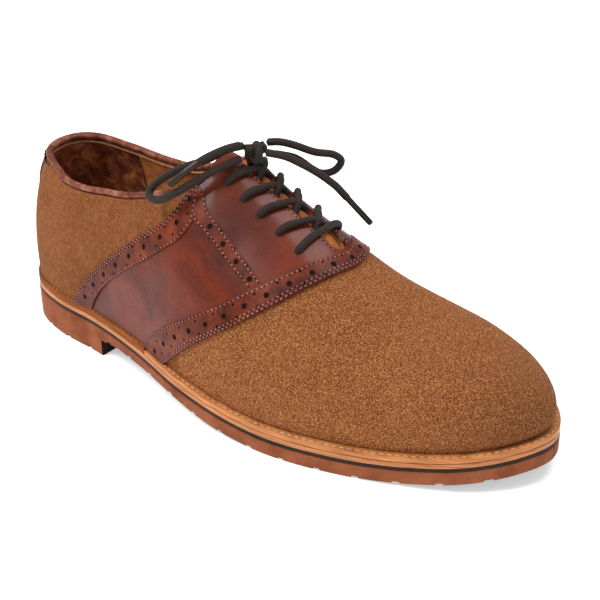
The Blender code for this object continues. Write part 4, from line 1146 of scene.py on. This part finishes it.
def tongue():
    """Tongue under the facings, seen between them."""
    top, end, width = 0.415, 0.680, 0.042
    xs = np.linspace(top, end, 60)
    u = (xs - top) / (end - top)
    half = 0.5 * width * (1 - 0.35 * u) * np.minimum(1.0, 0.72 + 3.0 * u)

    def low(x, side):
        middle = spine_y(x)
        return share_at(x, side, lambda q: side * (q[..., 1] - middle) < half)

    piece = skin("tongue_leather", xs, 22, low, lambda x, s: 0 * x + 1, -0.0026, weld=6e-5)
    co = points_of(piece)
    x = (co[:, 0] + CENTRE_X) / LENGTH
    away = (co[:, 1] + CENTRE_Y - spine_y(x)) / 0.0034
    inside = climb_of(x, 0.445, 0.465) * climb_of(x, 0.632, 0.612)
    co[:, 2] += 0.0026 * np.exp(-away**4) * inside
    piece.data.vertices.foreach_set("co", co.ravel())
    thickened(piece, 0.0020, bevel=0.0002)
    dressed(piece, [TONGUE_SUEDE, BAND], ["tongue"], 50)
    tinted_behind(piece, 0.448, 1)


tongue()


# The saddle
FRONT_LINES = (eased_crown(sampled(FRONT_EDGE)), eased_crown(sampled(FRONT_INNER)))
REAR_LINES = (sampled(REAR_EDGE), sampled(REAR_INNER))


def rim_line(side, first, last, count=120):
    xs = np.linspace(first, last, count)
    return np.stack([xs, top_share(xs, side)], -1)


def rim_cross(side):
    """Where the saddle's rear edge meets the collar."""
    t = np.linspace(0.60, 0.80, 200)
    x = REAR_X(t)
    gone = np.nonzero(t > top_share(x, side))[0]
    return float(t[gone[0]]) if len(gone) else 0.76


def rear_outer(side):
    """The saddle's rear edge, up to the collar."""
    t = rim_cross(side)
    line = REAR_LINES[0][REAR_LINES[0][:, 1] < t - 0.004]
    return np.vstack([line, [float(REAR_X(t)), t]])


def saddle_edges(side):
    rear, front = rear_outer(side), FRONT_LINES[0]
    top = rim_line(side, rear[-1, 0], THROAT_END - 0.00005)
    top[0] = rear[-1]
    return rear, front, np.vstack([top, [(x, 1.0) for x in np.linspace(THROAT_END, front[-1, 0], 10)]])


def saddle_dents(p):
    """Soft hollows and ridges of the worn saddle: (station, height, reach, depth)."""
    marks = ((0.250, 0.030, 0.014, -0.0005), (0.300, 0.052, 0.012, 0.0004), (0.345, 0.040, 0.016, -0.0005),
             (0.400, 0.030, 0.013, 0.0004), (0.440, 0.055, 0.012, -0.0004), (0.500, 0.052, 0.013, -0.00045),
             (0.540, 0.066, 0.010, 0.0003), (0.470, 0.078, 0.010, -0.0003))
    lift = np.zeros(p.shape[:-1])
    for sx, height, reach, depth in marks:
        away = ((p[..., 0] - sx * LENGTH) / (1.6 * reach)) ** 2 + ((p[..., 2] - height) / reach) ** 2
        lift += depth * np.exp(-away)
    return lift


def saddle():
    columns, below, above_it = 110, 46, 28
    halves = []
    for side in BOTH:
        rear, front, top = saddle_edges(side)
        left, right = evened(rear, side, below + 1)[0], evened(front, side, below + 1)[0]
        rim = evened(top, side, columns + 1)[0]
        a = np.linspace(0, 1, columns + 1)[:, None, None]
        low = (1 - a) * left[None] + a * right[None]
        share = np.linspace(0, 1, above_it + 1)[None, 1:, None]
        high = (1 - share) * low[:, -1:] + share * rim[:, None]
        x, t = np.moveaxis(np.concatenate([low, high], 1), -1, 0)
        b = np.linspace(0, 1, below + above_it + 1)[None, :]
        fade = (np.clip(np.minimum(1 - b, b) * 12, 0, 1)
                * np.clip(np.minimum(a, 1 - a)[..., 0] * 10, 0, 1))
        halves.append(shell(x, side, t, SADDLE_TOP + saddle_dents(raw(x, side, t)) * fade))
    piece = both_sides("saddle_leather", halves, 8e-5)
    thickened(piece, SADDLE_TOP - SADDLE_LOW, bevel=0.00025)
    punch(piece, [(x, side, EYELET_HEIGHT) for x in EYELET_ROWS for side in BOTH], EYELET, SADDLE_TOP)
    dressed(piece, [SADDLE], ["saddle"], 45)


def punch(piece, spots, radius, height):
    """Punches round holes through a leather at spots (x, side, t)."""
    frames = []
    for x, side, t in spots:
        line = np.array([[x - 0.002, t], [x, t], [x + 0.002, t]])
        frames.append(frames_on(line, side, height)[1])
    bpy.ops.mesh.primitive_cylinder_add(vertices=20, radius=radius, depth=0.0036)
    cutters = copies(piece.name + "_punches", bpy.context.object, frames)
    modify(piece, "BOOLEAN", operation="DIFFERENCE", solver="EXACT", object=cutters)
    bpy.data.objects.remove(cutters)


saddle()


def strip_skin(name, side, one, two, columns, rows, off):
    """A skin between two lines on one side of the upper."""
    a = np.linspace(0, 1, columns + 1)[:, None, None]
    xt = (1 - a) * evened(one, side, rows + 1)[0][None] + a * evened(two, side, rows + 1)[0][None]
    return laid(name, shell(xt[..., 0], side, xt[..., 1], off))


def faced_out(piece):
    """Turns a one-sided skin's faces away from the shoe's middle."""
    co = points_of(piece)
    middle = np.array([co[:, 0].mean(), 0.0, 0.02])
    score = sum((np.array(f.center) - middle) @ np.array(f.normal) * f.area for f in piece.data.polygons)
    if score < 0:
        piece.data.flip_normals()
    return piece


def middle_line(one, two, side, share=0.5, count=400):
    return evened(one, side, count)[0] * (1 - share) + evened(two, side, count)[0] * share


def along(line, side, pitch, start, end=None):
    """Points at an even pitch along a line, from start metres on."""
    fine, total = evened(line, side, 1200)
    at = np.arange(start, total if end is None else end, pitch)
    return cut_at(fine, at, np.linspace(0, total, 1200))


def rear_lines(side):
    """The rear band runs up to the collar, and the slanting one starts from it."""
    inner = [(0.4315, 0.655), (0.4265, 0.705), (SLANT_TOP, top_at(SLANT_TOP, side))]
    return rear_outer(side), np.vstack([REAR_LINES[1], inner])


def slant_lines(side):
    lower = np.vstack([[(0.4320, 0.618)], sampled(SLANT_LOWER, 60, 0)])
    return lower, sampled(((SLANT_TOP, top_at(SLANT_TOP, side)), (0.4380, 0.692)) + SLANT_UPPER[2:], 60, 0)


def band(name, parts, node, spots_big, spots_twin):
    """A punched band: its skins, thickened, with its holes cut through."""
    piece = joined(name + "_punched", [faced_out(p) for p in parts], 8e-5)
    thickened(piece, BAND_TOP - BAND_LOW, bevel=0.00025)
    punch(piece, spots_big, BIG_HOLE, BAND_TOP)
    punch(piece, spots_twin, SMALL_HOLE, BAND_TOP)
    return dressed(piece, [BAND], [node], 45)


def brogue(one, two, side, start, pitch=0.0112, end=None):
    """Spots of the big holes along a band's middle, and of the pairs between them."""
    middle = middle_line(one, two, side)
    big = [(x, side, t) for x, t in along(middle, side, pitch, start, end)]
    twins = [(x, side, t) for shift in (TWIN_SHIFT, -TWIN_SHIFT)
             for x, t in along(inset(middle, side, shift), side, pitch, start + 0.5 * pitch, end)]
    return big, twins


def bands():
    big, twins, skins = [], [], []
    for side in BOTH:
        skins.append(strip_skin("front", side, *FRONT_LINES, 12, 120, BAND_TOP))
        b, t = brogue(*FRONT_LINES, side, 0.0056)
        big, twins = big + b, twins + t
    band("front_band", skins, "front_band", big, twins)
    for side, tag in ((LATERAL_SIDE, "lateral"), (MEDIAL_SIDE, "medial")):
        one, two = rear_lines(side)
        b, t = brogue(one, two, side, 0.0082, 0.0124)
        band("rear_band_" + tag, [strip_skin("rear", side, one, two, 12, 110, BAND_TOP)],
             "rear_band_" + tag, b, t)
        low, high = slant_lines(side)
        b, t = brogue(low, high, side, 0.0166, 0.0107, end=evened(low, side, 50)[1] - 0.0030)
        low, high = (k[k[:, 0] < FRONT_INNER_X(k[:, 1]) + 0.003] for k in (low, high))
        band("slant_band_" + tag, [strip_skin("slant", side, low, high, 12, 60, BAND_TOP - 0.0001)],
             "slant_band_" + tag, b, t)


bands()


def backing():
    """A near-black sheet just under the bands, painted shade: what shows down their holes."""
    skins = []
    for side in BOTH:
        for one, two in (FRONT_LINES, rear_lines(side), slant_lines(side)):
            a, b = (middle_line(one, two, side, share, 120) for share in (0.06, 0.94))
            skins.append(faced_out(strip_skin("backing", side, a, b, 10, 120, BAND_LOW + 0.00020)))
    dressed(joined("band_hole_painted_shade", skins, 0), [PUNCH_SHADE], [], 60)


backing()


def backstay():
    """Strip up the back of the heel, flaring out under the collar."""
    rows, columns = 60, 14
    halves = []
    for side in BOTH:
        t = np.linspace(0.02, 0.62, rows + 1)
        wide = 0.009 + 0.052 * climb_of(t, 0.20, 0.58) ** 1.5
        x = np.linspace(0, 1, columns + 1)[:, None] ** 2 * wide
        t = np.minimum(np.repeat(t[None], columns + 1, 0), top_share(x, side))
        p = shell(x, side, t, 0.0009)
        p[0, :, 1] = 0.0
        halves.append(p)
    piece = both_sides("backstay_leather", halves, 1e-4)
    thickened(piece, 0.0009, bevel=0.0002)
    dressed(piece, [BACKSTAY_LEATHER], ["backstay"], 60)


backstay()


def binding():
    """Rolled binding over the collar's edge, puckered by its stitches."""
    xs = np.array([x for x in stations(200) if x < FACING_TOP - 0.004])
    rows = []
    for side in BOTH:
        t = top_share(xs, side)
        a, b = (shell(xs, side, t, off) for off in (0.0, -WALL))
        out = a - b
        out[0] = (-1.0, 0.0, out[0][2] / np.linalg.norm(out[0]))
        out = unit(out)
        rows.append(((a + b) / 2, out, unit(np.array([0.0, 0.0, 1.0]) - out * out[:, 2:3])))
    rows[1][0][0] = rows[0][0][0] = (rows[0][0][0] + rows[1][0][0]) / 2
    foot, out, up = (np.vstack([rows[0][k][::-1], rows[1][k][1:]]) for k in range(3))
    middle = foot + out * (0.5 * (BINDING_WIDTH - WALL) - 0.0005) + up * (1.6 * GAP + 0.5 * BINDING)
    run = lengths(middle)
    at = np.linspace(0, run[-1], 420)
    middle, out, up = (cut_at(q, at, run) for q in (middle, out, up))
    pucker = 1 + 0.025 * np.cos(2 * pi * at / 0.0042) + 0.03 * np.sin(at * 310 + 1.7 * np.sin(at * 97))
    taper = np.clip(np.minimum(at, run[-1] - at) / 0.006, 0.25, 1.0) ** 0.5
    wide = 0.5 * BINDING_WIDTH * 0.90 * taper * (1 + 0.4 * (pucker - 1))
    tall = 0.5 * BINDING * 0.92 * taper * pucker
    a = np.linspace(0, 2 * pi, 21)[:, None]
    square = 1 / np.maximum(np.abs(np.cos(a)), np.abs(np.sin(a))) ** 0.35
    points = (middle + out * (wide * np.cos(a) * square)[..., None]
              + up * (tall * np.sin(a) * square)[..., None])
    piece = joined("binding_rolled", [laid("binding_rolled", points)], 1e-6, filled=True, outward=True)
    dressed(piece, [BINDING_LEATHER], ["collar_binding"], 60)


binding()


def lining_edges():
    """Inside the collar: the lining's pale folded edge, and its upright seams."""
    xs = np.array([x for x in stations(170) if x < 0.425])
    lateral, medial = (shell(xs, side, top_share(xs, side) - 0.006, INSIDE)
                       for side in BOTH)
    fold = tube("lining_fold", np.vstack([lateral[::-1], medial[1:]]), 0.00055, ring=8)
    dressed(fold, [FOLD], [], 60)
    seams = []
    for side in BOTH:
        t = np.linspace(0.05, top_at(0.135, side) - 0.012, 50)
        seams.append(tube("seam", shell(np.full(50, 0.135), side, t, INSIDE), 0.0005, ring=8))
    dressed(joined("lining_seam", seams, 0), [LINING_HEEL], [], 60)


lining_edges()


# Stitches: one stitch and one needle hole, a dark bead of painted shade, copied along every seam
def stitch_frames(rows):
    stitches, holes = [], []
    for line, side, height, pitch, start in rows:
        spots = along(line, side, pitch, start)
        if len(spots) < 3:
            continue
        stitches.append(frames_on(spots, side, height))
        gaps = along(line, side, pitch, start + 0.5 * pitch)
        if len(gaps) > 2:
            holes.append(frames_on(gaps, side, height - 0.00002))
    return np.concatenate(stitches), np.concatenate(holes)


def beads(name, frames, size, rings, made):
    """One small ellipsoid of a size, copied to every frame."""
    bpy.ops.mesh.primitive_uv_sphere_add(segments=8, ring_count=rings, radius=0.5)
    master = bpy.context.object
    master.data.vertices.foreach_set("co", (points_of(master) * size).ravel())
    dressed(copies(name, master, frames), [made], [], 60)


def stitch_pieces(name, stitches, holes, long, thick, made, slot, hole=0.0008):
    beads(name, stitches, (long, thick, 0.8 * thick), 6, made)
    beads(name + "_holes", holes, (hole, hole, 0.00024), 4, PIT)


def seams():
    rows = []
    over, pitch = BAND_TOP + STITCH_LIFT, STITCH_PITCH
    for side in BOTH:
        front, front_in = FRONT_LINES
        rear, rear_in = rear_lines(side)
        low, high = slant_lines(side)
        for distance in (0.0010, 0.0028):
            rows.append((between_lines(front, front_in, side, distance), side, over, pitch, 0.002))
            rows.append((between_lines(rear, rear_in, side, distance), side, over, pitch, 0.002))
        rows.append((between_lines(front_in, front, side, 0.0013), side, over, pitch, 0.003))
        rows.append((between_lines(rear_in, rear, side, 0.0012), side, over, pitch, 0.003))
        for one, two, start in ((low, high, 0.004), (high, low, 0.002)):
            line = trimmed(between_lines(one, two, side, 0.0012))
            rows.append((line, side, over - 0.0001, pitch, start))
        facing = inset(rim_line(side, 0.452, THROAT_END - 0.004, 120), side, 0.0015)
        rows.append((facing, side, SADDLE_TOP + STITCH_LIFT, pitch, 0.001))
        stay = np.stack([np.full(60, 0.0058), np.linspace(0.03, top_at(0.006, side) - 0.01, 60)], -1)
        rows.append((stay, side, 0.0013, 0.0028, 0.001))
    stitches, holes = stitch_frames(rows)
    stitch_pieces("stitches_upper", stitches, holes, 0.0015, 0.00044, THREAD, "band_leather")


def trimmed(line):
    """The slanting band's line, ended where the front band covers it."""
    return line[line[:, 0] < FRONT_INNER_X(line[:, 1]) - 0.003]


def between_lines(one, two, side, distance):
    """The line one, moved towards the line two by a real distance."""
    a, b = evened(one, side, 200)[0], evened(two, side, 200)[0]
    wide = np.linalg.norm(raw(b[:, 0], side, b[:, 1]) - raw(a[:, 0], side, a[:, 1]), axis=1)
    share = np.clip(distance / np.maximum(wide, 1e-6), 0, 0.5)[:, None]
    return a * (1 - share) + b * share


seams()


def run_way(line, at):
    """A line's points at the given lengths, and the way it runs there."""
    return cut_at(line, at), unit(cut_at(line, at + 0.0005) - cut_at(line, at - 0.0005))


def welt_stitches():
    """Stitches round the top of the welt, and slanting ones round the heel strip."""
    p, inward = rim_points(WELT_START, WELT_START, True)
    q = p + inward * 0.0017
    line = np.stack([q[:, 0], q[:, 1], seat_under(q) + 0.00012], -1)
    line = line[np.concatenate([[True], np.linalg.norm(np.diff(line, axis=0), axis=1) > 1e-6])]
    frames = []
    for start in (0.002, 0.0038):
        here, way = run_way(line, np.arange(start, run_of(line) - 0.001, 0.0036))
        across = unit(np.cross((0.0, 0.0, 1.0), way))
        frames.append(frames_of(way, across, np.cross(way, across), here))
    p, inward = rim_points(WELT_START - 0.01, WELT_START - 0.01, False)
    q = p + inward * 0.0009
    whole = climb_of(np.clip(p[:, 0] / LENGTH, 0, 1), RAND_END, RAND_FULL)
    spots = np.stack([q[:, 0], q[:, 1], seat_under(q) + RAND_RISE * whole + 0.0001], -1)
    at = np.arange(0.003, run_of(spots) - 0.003, 0.0034)
    here, way = run_way(spots, at)
    climb = np.concatenate([inward, np.ones((len(inward), 1))], 1)
    climb = unit(cut_at(climb, at, lengths(spots)))
    out = np.cross(way, climb)
    out = out * np.sign(out[:, 2:] + 1e-9)
    lean = unit(0.62 * way + 0.78 * climb)
    slanting = frames_of(lean, np.cross(out, lean), out, here)
    stitch_pieces("stitches_heel_strip", slanting, slanting[:3], 0.0022, 0.0007, RAND_THREAD,
                  "rand_leather", 0.0003)
    stitch_pieces("stitches_welt", *frames, 0.0024, 0.0005, WELT_THREAD, "sole_leather", 0.0004)


welt_stitches()


# Floor and light
def floor():
    bpy.ops.mesh.primitive_plane_add(size=8.0)
    ground = bpy.context.object
    ground.name = "floor"
    made, tree, shader = finish_of("studio_white", Roughness=0.9, Specular_IOR_Level=0.2,
                                   Emission_Color=linear("#FFFFFF"), Emission_Strength=0.45)
    white = ramp(tree, noise(tree, 400, 2, 0.5), ((0.3, "#F6F6F5"), (0.7, "#FAFAF9")))
    tree.links.new(shader.inputs["Base Color"], white)
    ground.data.materials.append(made)


def light(name, where, aim, size, power, colour="#FFFFFF"):
    data = bpy.data.lights.new(name, "AREA")
    data.shape, data.size, data.energy = "DISK", size, power
    data.color = linear(colour)[:3]
    lamp = bpy.data.objects.new(name, data)
    bpy.context.scene.collection.objects.link(lamp)
    lamp.location = where
    lamp.rotation_euler = (Vector(aim) - Vector(where)).to_track_quat("-Z", "Y").to_euler()


def studio():
    world = bpy.data.worlds.new("studio")
    world.use_nodes = True
    bpy.context.scene.world = world
    background = world.node_tree.nodes["Background"]
    background.inputs["Color"].default_value = linear("#FFFFFF")
    background.inputs["Strength"].default_value = 0.55
    light("key", (-0.5, -0.7, 1.3), (0.0, 0.0, 0.04), 0.7, 15)
    light("top", (0.3, 0.5, 1.4), (0.0, 0.0, 0.05), 0.7, 9)
    bpy.context.scene.view_settings.view_transform = "Standard"
    bpy.context.scene.view_settings.look = "None"


floor()
studio()
